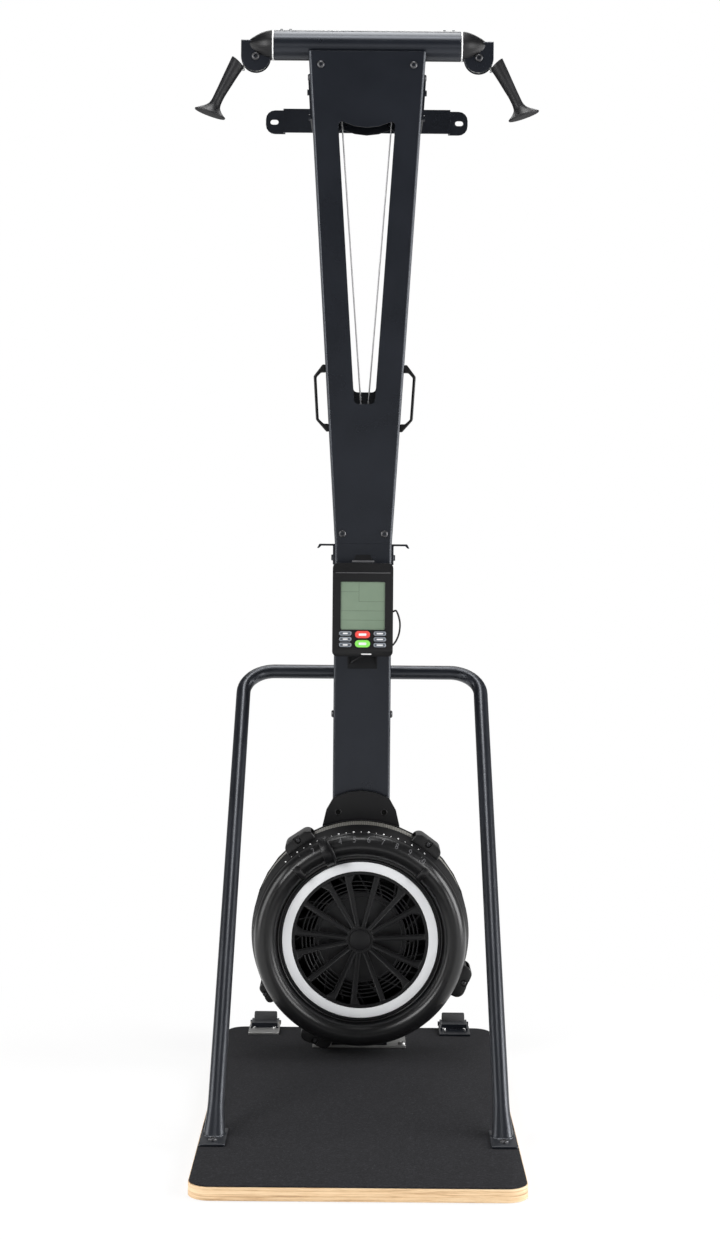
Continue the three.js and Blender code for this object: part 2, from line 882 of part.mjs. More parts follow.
for (const side of sides) {
  const strap = overlapOf(
    facing(housingFront(), housingDepth, 2 * arcSegments).translate(0, -housingDepth / 2, 0),
    sideways(housingSide(), 2 * housingRadius + 2 * overrun),
  );
  const boltY = -(housingDepth + headScrewHeight) / 2;
  addPart(
    assembly(side.sign * outerPulleyX, headTubeY, outerPulleyZ),
    `pulley_housing_${side.name}`,
    join(
      strap,
      rodY(pulleyPin, housingDepth - weldLap),
      rodY(boltRadius, headScrewHeight + weldLap).translate(0, boltY + weldLap / 2, 0),
    ),
    finishes.powderCoat,
  );
}

// Cord pulleys: grooved wheels that turn on their pins
function pulley(pitch, rim, width, bore) {
  const groove = pitch - grooveDepth;
  const lip = width / 2;
  const lipInner = cordRadius + seatGap;
  return turned([
    [bore, -lip],
    [rim, -lip],
    [rim, -lip + seatGap],
    [groove, -lipInner],
    [groove, lipInner],
    [rim, lip - seatGap],
    [rim, lip],
    [bore, lip],
  ], mediumSides);
}

for (const side of sides) {
  addPart(
    assembly(side.sign * outerPulleyX, headTubeY, outerPulleyZ),
    `outer_pulley_${side.name}`,
    pulley(outerPulleyPitch, outerPulleyRim, outerPulleyWidth, pulleyPin + runGap),
    finishes.nylon,
  );
  addPart(
    assembly(side.sign * innerPulleyX, headTubeY, innerPulleyZ),
    `inner_pulley_${side.name}`,
    pulley(innerPulleyPitch, innerPulleyRim, innerPulleyWidth, pulleyPin + runGap),
    finishes.nylon,
  );
}

// Turning block: plate inside the channel with a stud for each inner pulley
const blockY = columnFrontY + plateThickness + seatGap;
const studStart = blockY + blockThickness - weldLap - headTubeY;
const studEnd = innerPulleyWidth / 2 + runGap;
const studs = [-1, 1].flatMap((side) => {
  const x = side * innerPulleyX;
  const shaftEnd = studEnd + studHead;
  const spacer = -studEnd - studStart;
  return [
    rodY(pulleyPin, shaftEnd - studStart).translate(x, (shaftEnd + studStart) / 2, 0),
    rodY(studCollar, spacer).translate(x, studStart + spacer / 2, 0),
    rodY(studCollar, studHead).translate(x, studEnd + studHead / 2, 0),
  ];
});
const blockOutline = roundedRectangle(blockWidth, blockHeight, housingFold);
addPart(
  assembly(0, headTubeY, innerPulleyZ),
  'turning_block',
  join(facing(blockOutline, blockThickness).translate(0, blockY - headTubeY, 0), ...studs),
  finishes.zinc,
);

// Cord guide: leads the two cords side by side into the lower column
const guideBack = channelBack - seatGap;
const guideFront = columnFrontY + plateThickness + seatGap;
const guideMid = (guideFront + guideBack) / 2;
const guideHoles = sides.map((side) => rodZ(guideHole, guideThickness + 2 * overrun)
  .translate(side.sign * guideOffsetX, headTubeY + side.sign * drumSpacing / 2 - guideMid, 0));
addPart(
  assembly(0, guideMid, guideHeight),
  'cord_guide',
  cut(block(guideSpan, guideBack - guideFront, guideThickness), ...guideHoles),
  finishes.nylon,
);

// Cord drums on the fan axle
for (const side of sides) {
  const core = drumPitch - grooveDepth;
  const lip = drumWidth / 2;
  const flange = lip - flywheelDisc / 2;
  const bore = axleRadius + runGap;
  addPart(
    assembly(0, headTubeY + side.sign * drumSpacing / 2, fanHeight),
    `cord_drum_${side.name}`,
    turned([
      [bore, -lip],
      [drumRim, -lip],
      [drumRim, -flange],
      [core, -flange],
      [core, flange],
      [drumRim, flange],
      [drumRim, lip],
      [bore, lip],
    ], mediumSides),
    finishes.nylon,
  );
}

// Drive cords: over the outer pulley, round the inner pulley, down through the guide to the drum
function bearing(x, z) {
  return Math.atan2(z, x);
}

function arcPoints(centre, radius, from, to, steps) {
  const points = [];
  for (let i = 0; i <= steps; i += 1) {
    const angle = from + (to - from) * i / steps;
    const x = centre.x + radius * Math.cos(angle);
    points.push(new THREE.Vector3(x, centre.y, centre.z + radius * Math.sin(angle)));
  }
  return points;
}

for (const side of sides) {
  const outer = new THREE.Vector3(-outerPulleyX, headTubeY, outerPulleyZ);
  const inner = new THREE.Vector3(-innerPulleyX, headTubeY, innerPulleyZ);
  const guideY = headTubeY + side.sign * drumSpacing / 2;
  const guideTop = new THREE.Vector3(-guideOffsetX, guideY, guideHeight + guideThickness);
  const drumMiddle = new THREE.Vector3(0, guideY, fanHeight);
  const [acrossX, acrossZ] = [inner.x - outer.x, inner.z - outer.z];
  const apart = Math.hypot(acrossX, acrossZ);
  const crest = bearing(acrossX, acrossZ) + Math.acos((outerPulleyPitch - innerPulleyPitch) / apart);
  const [downX, downZ] = [guideTop.x - inner.x, guideTop.z - inner.z];
  const away = bearing(downX, downZ) + Math.acos(innerPulleyPitch / Math.hypot(downX, downZ));
  const upper = [
    ...arcPoints(outer, outerPulleyPitch, Math.PI, crest, 2 * arcSegments),
    ...arcPoints(inner, innerPulleyPitch, crest, away, 2 * arcSegments),
    guideTop,
  ].map((point) => (side.sign < 0 ? point : point.setX(-point.x)));
  const guideLow = new THREE.Vector3(
    side.sign * guideOffsetX,
    guideY,
    guideHeight - guideThickness,
  );
  const [toX, toZ] = [guideLow.x - drumMiddle.x, guideLow.z - drumMiddle.z];
  const land = bearing(toX, toZ) - Math.acos(drumPitch / Math.hypot(toX, toZ));
  const lower = arcPoints(drumMiddle, drumPitch, land, land, 1).slice(0, 1);
  addPart(
    assembly(),
    `drive_cord_${side.name}`,
    tubeAlong([...upper, guideLow, ...lower], cordRadius),
    finishes.cord,
  );
}

// Pull handles: flared grips that hang on a short cord beside each housing
function ellipseRing(centre, width, depth, tilt, count) {
  const ring = [];
  for (let i = 0; i < count; i += 1) {
    const angle = 2 * Math.PI * i / count;
    const across = width / 2 * Math.cos(angle);
    ring.push(new THREE.Vector3(
      centre.x + across * Math.cos(tilt),
      centre.y + depth / 2 * Math.sin(angle),
      centre.z - across * Math.sin(tilt),
    ));
  }
  return ring;
}

// A closed body laid over a row of rings that all have the same number of points
function lofted(rings, startPoint, endPoint) {
  const count = rings[0].length;
  const points = [...rings.flat(), startPoint, endPoint];
  const startIndex = points.length - 2;
  const endIndex = points.length - 1;
  const last = (rings.length - 1) * count;
  const faces = [];
  for (let i = 0; i < count; i += 1) {
    const next = (i + 1) % count;
    faces.push(startIndex, next, i, endIndex, last + i, last + next);
    for (let row = 0; row < rings.length - 1; row += 1) {
      const [a, b] = [row * count + i, row * count + next];
      faces.push(a, b, b + count, a, b + count, a + count);
    }
  }
  const geometry = new THREE.BufferGeometry().setFromPoints(points);
  geometry.setIndex(faces);
  return geometry;
}

const cordX = outerPulleyX + outerPulleyPitch;
const cordTopZ = outerPulleyZ - seatGap;
const ferruleTopZ = cordTopZ - handleCordLength - seatGap;
const handleRings = handleShares.map((share) => {
  const centre = new THREE.Vector3(
    -handleTopX - handleReachX * share.across,
    0,
    headTubeHeight - handleTopDrop - handleReachZ * share.down,
  );
  const width = handleFlare * share.width;
  const depth = handleFlare * share.depth;
  return ellipseRing(centre, width, depth, share.tilt * degrees, handleSides);
});
const rim = handleShares[handleShares.length - 1];
const rimTilt = rim.tilt * degrees;
const rimDown = new THREE.Vector3(-Math.sin(rimTilt), 0, -Math.cos(rimTilt));
const rimCentre = new THREE.Vector3(
  -handleTopX - handleReachX,
  0,
  headTubeHeight - handleTopDrop - handleReachZ,
);
const lowCentre = rimCentre.clone().addScaledVector(rimDown, handleRimThickness);
const domeCentre = lowCentre.clone().addScaledVector(rimDown, handleDome);
handleRings.push(
  ellipseRing(lowCentre, handleFlare * rim.width, handleFlare * rim.depth, rimTilt, handleSides),
);
const topCentre = new THREE.Vector3(-handleTopX, 0, headTubeHeight - handleTopDrop);
const grip = join(
  lofted(handleRings, topCentre, domeCentre),
  rodZ(ferruleRadius, ferruleLength).translate(-cordX, 0, ferruleTopZ - ferruleLength / 2),
);
for (const side of sides) {
  const group = assembly(0, headTubeY, 0);
  addPart(group, `handle_${side.name}`, onSide(side, grip), finishes.blackRubber);
  addPart(
    group,
    `handle_cord_${side.name}`,
    rodZ(cordRadius, handleCordLength, 2 * cordHalfSides)
      .translate(side.sign * cordX, 0, cordTopZ - handleCordLength / 2),
    finishes.cord,
  );
}

// Wall bracket: folded bar with a slotted tab at each end and two arms to the channel
const tabStart = wallBarFace / 2;
const barFrontY = wallY - wallBarStep - wallSheet;
const barPlan = polygon([
  [-wallBarWidth / 2, wallY],
  [-wallBarWidth / 2, wallY - wallSheet],
  [-tabStart, wallY - wallSheet],
  [-tabStart, barFrontY],
  [tabStart, barFrontY],
  [tabStart, wallY - wallSheet],
  [wallBarWidth / 2, wallY - wallSheet],
  [wallBarWidth / 2, wallY],
  [tabStart - wallSheet, wallY],
  [tabStart - wallSheet, barFrontY + wallSheet],
  [wallSheet - tabStart, barFrontY + wallSheet],
  [wallSheet - tabStart, wallY],
]);
const barCut = overlapOf(
  raised(barPlan, wallBarHeight).translate(0, 0, wallBarZ - wallBarHeight / 2),
  facing(roundedRectangle(wallBarWidth, wallBarHeight, wallCorner, 0, wallBarZ), overallDepth),
);
const wallSlots = [-1, 1].map((side) => {
  const shape = roundedRectangle(
    wallSlotLength,
    wallSlotWidth,
    wallSlotWidth / 2 - seatGap / 2,
    side * wallSpacing / 2,
    wallBarZ,
  );
  return facing(shape, wallSheet + 2 * overrun).translate(0, wallY - wallSheet - overrun, 0);
});
const armFront = columnBackY - armReach;
const armOutline = polygon([
  [armFront, armBottom],
  [barFrontY + weldLap, wallBarZ - wallBarHeight / 2],
  [barFrontY + weldLap, wallBarZ + wallBarHeight / 2],
  [columnBackY, armBottom + armHeight],
  [armFront, armBottom + armHeight],
]);
const arms = [-1, 1].map((side) => {
  const x = side * (columnWidth / 2 + seatGap + armThickness / 2);
  return spread(sideways(armOutline, armThickness).translate(x, 0, 0), channelBottom);
});
const armBolts = [-1, 1].flatMap((side) => [-armBoltDrop, armBoltRise].map((rise) => {
  const out = seatGap + armThickness - weldLap;
  return sideBolt(side, columnBackY - armReach / 2, wallBarZ + rise, out);
}));
addPart(
  assembly(),
  'wall_bracket',
  join(cut(barCut, ...wallSlots), ...arms, ...armBolts),
  finishes.powderCoat,
);

// Carry handles on the channel's sides
const carryTop = carryBottom + carryHeight;
const carryInnerX = carryReach - carryBar;
const carryOutline = polygon([
  [seatGap, carryBottom],
  [carryReach - carryBevelX, carryBottom],
  [carryReach, carryBottom + carryBevelZ],
  [carryReach, carryTop - carryBevelZ],
  [carryReach - carryBevelX, carryTop],
  [seatGap, carryTop],
  [seatGap, carryTop - carryArm],
  [carryInnerX - carryInnerBevel, carryTop - carryArm],
  [carryInnerX, carryTop - carryArm - carryInnerBevel],
  [carryInnerX, carryBottom + carryArm + carryInnerBevel],
  [carryInnerX - carryInnerBevel, carryBottom + carryArm],
  [seatGap, carryBottom + carryArm],
]);
const carryBody = spread(
  facing(carryOutline, carryDepth).translate(columnWidth / 2, -carryDepth / 2, 0),
  channelBottom,
);

// Handle hooks on the lower column's sides
const hookOutline = polygon([
  [seatGap, -hookLeg],
  [seatGap + hookThickness, -hookLeg],
  [seatGap + hookThickness, -hookThickness],
  [hookReach - hookDrop, -hookThickness],
  [hookReach - hookThickness, -hookDrop],
  [hookReach, -hookDrop],
  [hookReach - hookDrop + hookThickness, 0],
  [seatGap, 0],
]);
const hookBody = join(
  facing(hookOutline, hookWidth).translate(0, -hookWidth / 2, 0),
  rodX(boltRadius, boltHeight)
    .translate(seatGap + hookThickness + boltHeight / 2 - weldLap, 0, hookBoltRise - hookLeg),
);
for (const side of sides) {
  const right = { sign: -side.sign };
  addPart(
    assembly(0, columnMidY, 0),
    `carry_handle_${side.name}`,
    onSide(right, carryBody),
    finishes.blackPlastic,
  );
  addPart(
    assembly(side.sign * columnWidth / 2, columnMidY, hookTop),
    `handle_hook_${side.name}`,
    onSide(right, hookBody),
    finishes.powderCoat,
  );
}

// Monitor: hollow front and back shells, lens behind the window, sliding keys
const monitor = assembly(0, monitorFrontY, monitorMidZ);
const monitorHalf = monitorHeight / 2;
const monitorLip = monitorBevelHeight * 2 / 3;
const monitorLipDepth = monitorBevelDepth / 2;
const monitorFace = roundedRectangle(monitorWidth, monitorHeight, monitorCorner);
const monitorCavity = roundedRectangle(
  monitorWidth - 2 * monitorWall,
  monitorHeight - 2 * monitorWall,
  monitorCorner - monitorWall,
);
const monitorSide = polygon([
  [0, monitorLip - monitorHalf],
  [monitorLipDepth, -monitorHalf],
  [monitorSplit, -monitorHalf],
  [monitorSplit, monitorHalf],
  [monitorBevelDepth, monitorHalf],
  [0, monitorHalf - monitorBevelHeight],
]);
const monitorInside = polygon([
  [monitorWall, monitorLip - monitorHalf],
  [monitorWall + monitorLipDepth, monitorWall - monitorHalf],
  [monitorSplit + overrun, monitorWall - monitorHalf],
  [monitorSplit + overrun, monitorHalf - monitorWall],
  [monitorWall + monitorBevelDepth, monitorHalf - monitorWall],
  [monitorWall, monitorHalf - monitorBevelHeight],
]);
const keys = [
  {
    name: 'key_stop',
    x: 0,
    z: -mainKeyDrop,
    wide: mainKeyWidth,
    tall: mainKeyHeight,
    finish: finishes.redKey,
  },
  {
    name: 'key_start',
    x: 0,
    z: -mainKeyDrop - mainKeyPitch,
    wide: mainKeyWidth,
    tall: mainKeyHeight,
    finish: finishes.greenKey,
  },
];
for (const side of sides) {
  for (const [row, place] of ['top', 'middle', 'bottom'].entries()) {
    keys.push({
      name: `key_${side.name}_${place}`,
      x: side.sign * keyColumn,
      z: -keyTopDrop - row * keyPitch,
      wide: keyWidth,
      tall: keyHeight,
      finish: finishes.greyKey,
    });
  }
}
const keySlots = keys.map((key) => {
  const [wide, tall] = [key.wide + 2 * keyClearance, key.tall + 2 * keyClearance];
  const shape = roundedRectangle(wide, tall, tall / 2 - seatGap, key.x, key.z);
  return facing(shape, monitorWall + 2 * overrun).translate(0, -overrun, 0);
});
const screenOpening = facing(
  roundedRectangle(screenWidth, screenHeight, monitorWall, 0, screenRise),
  monitorWall + 2 * overrun,
).translate(0, -overrun, 0);
addPart(
  monitor,
  'monitor_front',
  cut(
    overlapOf(facing(monitorFace, monitorSplit), sideways(monitorSide, monitorWidth)),
    overlapOf(
      facing(monitorCavity, monitorSplit + overrun),
      sideways(monitorInside, monitorWidth),
    ),
    screenOpening,
    ...keySlots,
  ),
  finishes.blackPlastic,
);
for (const key of keys) {
  const shape = roundedRectangle(key.wide, key.tall, key.tall / 2 - seatGap, key.x, key.z);
  addPart(monitor, key.name, facing(shape, keyDepth).translate(0, -keyProud, 0), key.finish);
}
const lensOutline = roundedRectangle(
  screenWidth + 2 * screenLedge,
  screenHeight + 2 * screenLedge,
  monitorWall,
  0,
  screenRise,
);
addPart(
  monitor,
  'monitor_lens',
  facing(lensOutline, lensThickness).translate(0, monitorWall + seatGap, 0),
  finishes.lens,
);
const lugX = bracketWidth / 2 - bracketSheet - keyClearance - tiltLugWidth / 2;
const lugs = [-1, 1].map((side) => {
  const shape = new THREE.Shape();
  shape.moveTo(monitorDepth - weldLap, -tiltLugRadius);
  shape.absarc(tiltSetback, 0, tiltLugRadius, -Math.PI / 2, Math.PI / 2);
  shape.lineTo(monitorDepth - weldLap, tiltLugRadius);
  shape.holes.push(new THREE.Path().absarc(tiltSetback, 0, tiltPin + runGap, 0, Math.PI * 2));
  return sideways(shape, tiltLugWidth, 3 * arcSegments).translate(side * lugX, 0, 0);
});
const backDepth = monitorDepth - monitorSplit - seatGap;
addPart(
  monitor,
  'monitor_back',
  join(
    cut(
      facing(monitorFace, backDepth).translate(0, monitorSplit + seatGap, 0),
      facing(monitorCavity, backDepth - monitorWall + overrun)
        .translate(0, monitorSplit + seatGap - overrun, 0),
    ),
    ...lugs,
  ),
  finishes.blackPlastic,
);

// Monitor bracket: plate on the column with two ears and the tilt pin between them
const tiltY = monitorFrontY + tiltSetback;
const bracketBackY = columnFrontY - seatGap;
const bracketPlate = polygon([
  [-bracketWidth / 2, bracketBottom],
  [bracketWidth / 2, bracketBottom],
  [bracketWidth / 2, bracketTop],
  [bracketTabWidth / 2, bracketTop],
  [bracketTabCrown / 2, bracketTabTop],
  [-bracketTabCrown / 2, bracketTabTop],
  [-bracketTabWidth / 2, bracketTop],
  [-bracketWidth / 2, bracketTop],
]);
const earOutline = new THREE.Shape();
earOutline.moveTo(bracketBackY, bracketBottom);
earOutline.lineTo(bracketBackY, bracketTop);
earOutline.lineTo(tiltY, monitorMidZ + tiltLugRadius);
earOutline.absarc(tiltY, monitorMidZ, tiltLugRadius, Math.PI / 2, Math.PI * 1.5);
const ears = [-1, 1].map((side) => sideways(earOutline, bracketSheet)
  .translate(side * (bracketWidth - bracketSheet) / 2, 0, 0));
addPart(
  assembly(),
  'monitor_bracket',
  join(
    facing(bracketPlate, bracketSheet).translate(0, bracketBackY - bracketSheet, 0),
    ...ears,
    rodX(tiltPin, bracketWidth - bracketSheet).translate(0, tiltY, monitorMidZ),
  ),
  finishes.powderCoat,
);

// Monitor lead: leaves the monitor's side, loops down behind it and ends at the bracket plate
const leadStartX = monitorWidth / 2 + seatGap;
const leadOutX = leadStartX + leadLoop;
const leadY = monitorFrontY + (monitorSplit + monitorDepth) / 2;
const leadEndY = bracketBackY - bracketSheet - seatGap;
const leadTop = monitorMidZ - leadPlugDrop;
const leadFall = leadEndDrop - leadPlugDrop;
const leadShares = [
  { x: leadStartX, along: 0, down: 0 },
  { x: leadStartX + leadLoop / 2, along: 0, down: 0 },
  { x: leadOutX, along: 0.15, down: 0.22 },
  { x: leadOutX - leadRadius, along: 0.38, down: 0.47 },
  { x: leadStartX - leadRadius, along: 0.58, down: 0.67 },
  { x: bracketWidth / 2, along: 0.69, down: 0.79 },
  { x: leadRadius, along: 0.79, down: 0.86 },
  { x: leadRadius - leadEndX, along: 0.88, down: 0.96 },
  { x: -leadEndX, along: 0.95, down: 1 },
  { x: -leadEndX, along: 1, down: 1 },
];
const leadCurve = new THREE.CatmullRomCurve3(leadShares.map((share) => new THREE.Vector3(
  share.x,
  leadY + (leadEndY - leadY) * share.along,
  leadTop - leadFall * share.down,
)));
addPart(
  assembly(),
  'monitor_lead',
  tubeAlong(leadCurve.getPoints(leadSteps), leadRadius),
  finishes.blackRubber,
);

// Fan: every piece is turned about the axle, with depths from the floor frame's Y
const fan = assembly(0, 0, fanHeight);

function atAngle(geometry, angle) {
  return geometry.rotateY(-angle * degrees);
}

// Rear housing: shallow bowl bolted to the column's front, with a neck up the column
const rearBackY = columnFrontY - seatGap;
const rearStepY = rearFrontY + rearRimWidth;
const rearBowl = turned([
  [axleRadius + axleClearance, rearBackY],
  [rearBackRadius, rearBackY],
  [rearRimRadiusInner, rearStepY],
  [rearRimRadius, rearStepY],
  [rearRimRadius, rearFrontY],
  [rearRimRadius - rearWall, rearFrontY],
  [rearRimRadius - rearWall, rearStepY - rearWall],
  [rearRimRadiusInner - rearWall / 2, rearStepY - rearWall],
  [rearBackRadius - rearWall / 2, rearBackY - rearWall],
  [axleRadius + axleClearance, rearBackY - rearWall],
]);
const neck = new THREE.Shape();
neck.moveTo(-neckSpread, neckFoot);
neck.lineTo(neckSpread, neckFoot);
neck.lineTo(neckSpread, neckSpreadRise);
neck.lineTo(neckWaistX, neckWaist);
neck.lineTo(neckShoulderX, neckShoulder);
neck.quadraticCurveTo(
  0,
  2 * neckTop - neckShoulder,
  -neckShoulderX,
  neckShoulder,
);
neck.lineTo(-neckWaistX, neckWaist);
neck.lineTo(-neckSpread, neckSpreadRise);
const neckHoles = [-1, 1].map((side) => rodY(neckHoleRadius, 2 * neckHoleDepth)
  .translate(side * neckHoleX, rearBackY - neckDepth, neckHoleRise));
addPart(
  fan,
  'fan_rear_housing',
  cut(
    join(
      facing(neck, neckDepth, 2 * arcSegments).translate(0, rearBackY - neckDepth, 0),
      rearBowl,
    ),
    turned([
      [0, rearFrontY - overrun],
      [rearRimRadiusInner - rearWall, rearFrontY - overrun],
      [rearRimRadiusInner - rearWall, rearStepY - rearWall],
      [rearBackRadius - rearWall, rearBackY - rearWall],
      [0, rearBackY - rearWall],
    ]),
    ...neckHoles,
  ),
  finishes.blackPlastic,
);

// Perforated band between the rear housing and the shroud
addPart(
  fan,
  'mesh_band',
  turned([
    [meshRadius, skirtBackY + seatGap],
    [meshRadius, rearFrontY - seatGap],
    [meshRadius - meshThickness, rearFrontY - seatGap],
    [meshRadius - meshThickness, skirtBackY + seatGap],
  ]),
  finishes.greyMesh,
);

// Front shroud: inner lip, bulged ring, step, skirt and five screwed lugs
const flangeFront = fanFaceY + ringThickness + seatGap;
const flangeBack = fanFaceY + grilleDepth + runGap;
const lipFront = flangeBack + seatGap;
const torusMid = (torusOuter + torusInner) / 2;
const torusHalf = (torusOuter - torusInner) / 2;

function bulge(grow, from, to, steps) {
  const points = [];
  for (let i = 0; i <= steps; i += 1) {
    const angle = (from + (to - from) * i / steps) * degrees;
    const radius = torusMid - (torusHalf + grow) * Math.cos(angle);
    points.push([radius, skirtFrontY - (torusBulge + grow) * Math.sin(angle)]);
  }
  return points;
}

const shroudSection = [
  [shroudLip, lipFront],
  [torusInner, lipFront],
  ...bulge(0, 0, 180, bulgeSteps),
  [skirtRadius - skirtDraft, skirtFrontY],
  [skirtRadius, skirtBackY],
  [skirtRadius - shroudWall, skirtBackY],
  [skirtRadius - skirtDraft - shroudWall, skirtFrontY + shroudWall],
  ...bulge(-shroudWall, 180, 0, bulgeSteps),
  [torusInner + shroudWall, lipFront + shroudWall],
  [shroudLip, lipFront + shroudWall],
];
const lugY = skirtFrontY + lugSetback;
const lugFrontFoot = skirtRadius - (skirtDraft + shroudWall) / 2;
const lugBackFoot = meshRadius + seatGap;

// A lug seen from the front, lying along +X: rounded at its two outer corners
function lugFace(foot, rise, length) {
  const outer = skirtRadius + rise;
  const corner = Math.min(lugCorner, outer - lugBackFoot);
  const shape = new THREE.Shape();
  shape.moveTo(foot, -length / 2);
  shape.absarc(outer - corner, corner - length / 2, corner, -Math.PI / 2, 0);
  shape.absarc(outer - corner, length / 2 - corner, corner, 0, Math.PI / 2);
  shape.lineTo(foot, length / 2);
  return shape;
}

const shroudLugs = lugShares.flatMap((share) => {
  const rise = lugRise * share.rise;
  const length = lugLength * share.length;
  const front = facing(lugFace(lugFrontFoot, rise, length), skirtBackY - lugY);
  const back = facing(lugFace(lugBackFoot, rise, length), lugDepth);
  const screw = rodY(boltRadius, boltHeight).translate(skirtRadius + rise / 2, 0, 0);
  return [front, back, screw].map((body) => atAngle(body.translate(0, lugY, 0), share.angle));
});
addPart(fan, 'front_shroud', join(turned(shroudSection), ...shroudLugs), finishes.blackPlastic);

// Silver ring over the grille's flange
addPart(
  fan,
  'silver_ring',
  turned([
    [ringInner, fanFaceY],
    [ringOuter, fanFaceY],
    [ringOuter, fanFaceY + ringThickness],
    [ringInner, fanFaceY + ringThickness],
  ]),
  finishes.brushedSilver,
);

// Grille: flange, inner rim, spokes singly and in pairs, guard rings and the hub with its cap
const grilleFront = flangeBack - grilleDepth;
const rimOuter = ringInner - runGap;
const grilleRing = turned([
  [grilleRim, grilleFront],
  [rimOuter, grilleFront],
  [rimOuter, flangeFront],
  [ringOuter, flangeFront],
  [ringOuter, flangeBack],
  [grilleRim, flangeBack],
]);
const hubFront = grilleFront - hubCapHeight;
const hubBody = turned([
  [0, hubFront],
  [hubCapRadius, hubFront],
  [hubCapRadius, grilleFront],
  [grilleHub, grilleFront],
  [grilleHub, flangeBack],
  [0, flangeBack],
], mediumSides);

function spoke(gussetBelow, gussetAbove, extra = 0) {
  const start = grilleHub - overrun;
  const end = grilleRim + overrun;
  const near = spokeHubWidth / 2 + extra / 2;
  const far = spokeWidth / 2 + extra;
  return polygon([
    [start, -near],
    [grilleRim - spokeGusset, -far],
    [end, -far - gussetBelow],
    [end, far + gussetAbove],
    [grilleRim - spokeGusset, far],
    [start, near],
  ]);
}

const spokeBody = (outline, angle) => atAngle(
  facing(outline, grilleDepth).translate(0, grilleFront, 0),
  angle,
);
const spokes = [];
for (let i = 0; i < armCount; i += 1) {
  const single = singleAngle + 360 * i / armCount;
  const pair = single + 180 / armCount;
  spokes.push(
    spokeBody(spoke(0, 0, spokeSpare), single),
    spokeBody(spoke(spokeGusset, 0), pair - pairHalfAngle),
    spokeBody(spoke(0, spokeGusset), pair + pairHalfAngle),
  );
}
const guardRings = [];
for (let radius = guardFirst; radius < grilleRim - guardPitch / 2; radius += guardPitch) {
  guardRings.push(turned([
    [radius, flangeBack - guardDepth],
    [radius + guardRingWidth, flangeBack - guardDepth],
    [radius + guardRingWidth, flangeBack],
    [radius, flangeBack],
  ]));
}
addPart(
  fan,
  'grille',
  join(grilleRing, hubBody, ...spokes, ...guardRings),
  finishes.blackPlastic,
);

// Damper: ring round the silver ring with a lever that reaches over the bulge
const damperFront = fanFaceY + runGap;
const damperBack = lipFront - leverGap;
const damperRing = turned([
  [damperInner, damperFront],
  [damperOuter, damperFront],
  [damperOuter, damperBack],
  [damperInner, damperBack],
]);
const leverSection = polygon([
  ...bulge(leverGap, 0, leverEnd, bulgeSteps),
  ...bulge(leverGap + leverThickness, leverEnd, 0, bulgeSteps),
]);
const finSection = polygon([
  ...bulge(leverGap + leverThickness / 2, finStart, finEnd, bulgeSteps),
  ...bulge(leverGap + leverThickness + finHeight / 2, finCrestEnd, finCrestStart, arcSegments),
]);
const lever = raised(leverSection, leverWidth).translate(0, 0, -leverWidth / 2);
const fin = raised(finSection, finThickness).translate(0, 0, -leverWidth / 2);
addPart(
  fan,
  'damper_lever',
  join(damperRing, atAngle(lever, damperAngle), atAngle(fin, damperAngle)),
  finishes.blackPlastic,
);

// Flywheel: hollow hub, disc and curved blades
const flywheelFrontY = fanFaceY + flywheelSetback;
const discFront = flywheelFrontY + bladeDepth;
const discBack = discFront + flywheelDisc;
const flywheelBody = turned([
  [axleRadius + seatGap, flywheelFrontY],
  [flywheelHub, flywheelFrontY],
  [flywheelHub, discFront],
  [flywheelRadius, discFront],
  [flywheelRadius, discBack],
  [flywheelHub - flywheelDisc, discBack],
  [flywheelHub - flywheelDisc, flywheelFrontY + flywheelDisc],
  [flywheelCore, flywheelFrontY + flywheelDisc],
  [flywheelCore, discBack],
  [axleRadius + seatGap, discBack],
]);
const bladeMid = (flywheelHub + bladeReach) / 2;
const bladeHalf = (bladeReach - flywheelHub) / 2;
const bladeOutline = new THREE.Shape();
const bladeSag = bladeHalf / 4;
bladeOutline.moveTo(-bladeHalf, 0);
bladeOutline.quadraticCurveTo(0, bladeSag, bladeHalf, 0);
bladeOutline.lineTo(bladeHalf, bladeThickness);
bladeOutline.quadraticCurveTo(0, bladeSag + bladeThickness, -bladeHalf, bladeThickness);
const blades = [];
for (let i = 0; i < bladeCount; i += 1) {
  const blade = atAngle(facing(bladeOutline, bladeDepth + weldLap), bladeLean)
    .translate(bladeMid, flywheelFrontY, 0);
  blades.push(atAngle(blade, 360 * i / bladeCount));
}
const bladeRoot = turned([
  [flywheelHub - weldLap, flywheelFrontY],
  [flywheelHub + bladeSag, flywheelFrontY],
  [flywheelHub + bladeSag, discFront + weldLap],
  [flywheelHub - weldLap, discFront + weldLap],
]);
addPart(fan, 'flywheel', join(flywheelBody, bladeRoot, ...blades), finishes.zinc);

// Fan axle: collar before the flywheel, nut behind the column
const axleFrontY = flywheelFrontY - seatGap - axleCollarWidth - axleNutWidth;
const axleNutY = columnBackY + axleClearance;
addPart(
  fan,
  'fan_axle',
  turned([
    [0, axleFrontY],
    [axleRadius, axleFrontY],
    [axleRadius, flywheelFrontY - seatGap - axleCollarWidth],
    [axleNutRadius, flywheelFrontY - seatGap - axleCollarWidth],
    [axleNutRadius, flywheelFrontY - seatGap],
    [axleRadius, flywheelFrontY - seatGap],
    [axleRadius, axleNutY],
    [axleNutRadius, axleNutY],
    [axleNutRadius, axleNutY + axleNutWidth],
    [0, axleNutY + axleNutWidth],
  ], mediumSides),
  finishes.steel,
);

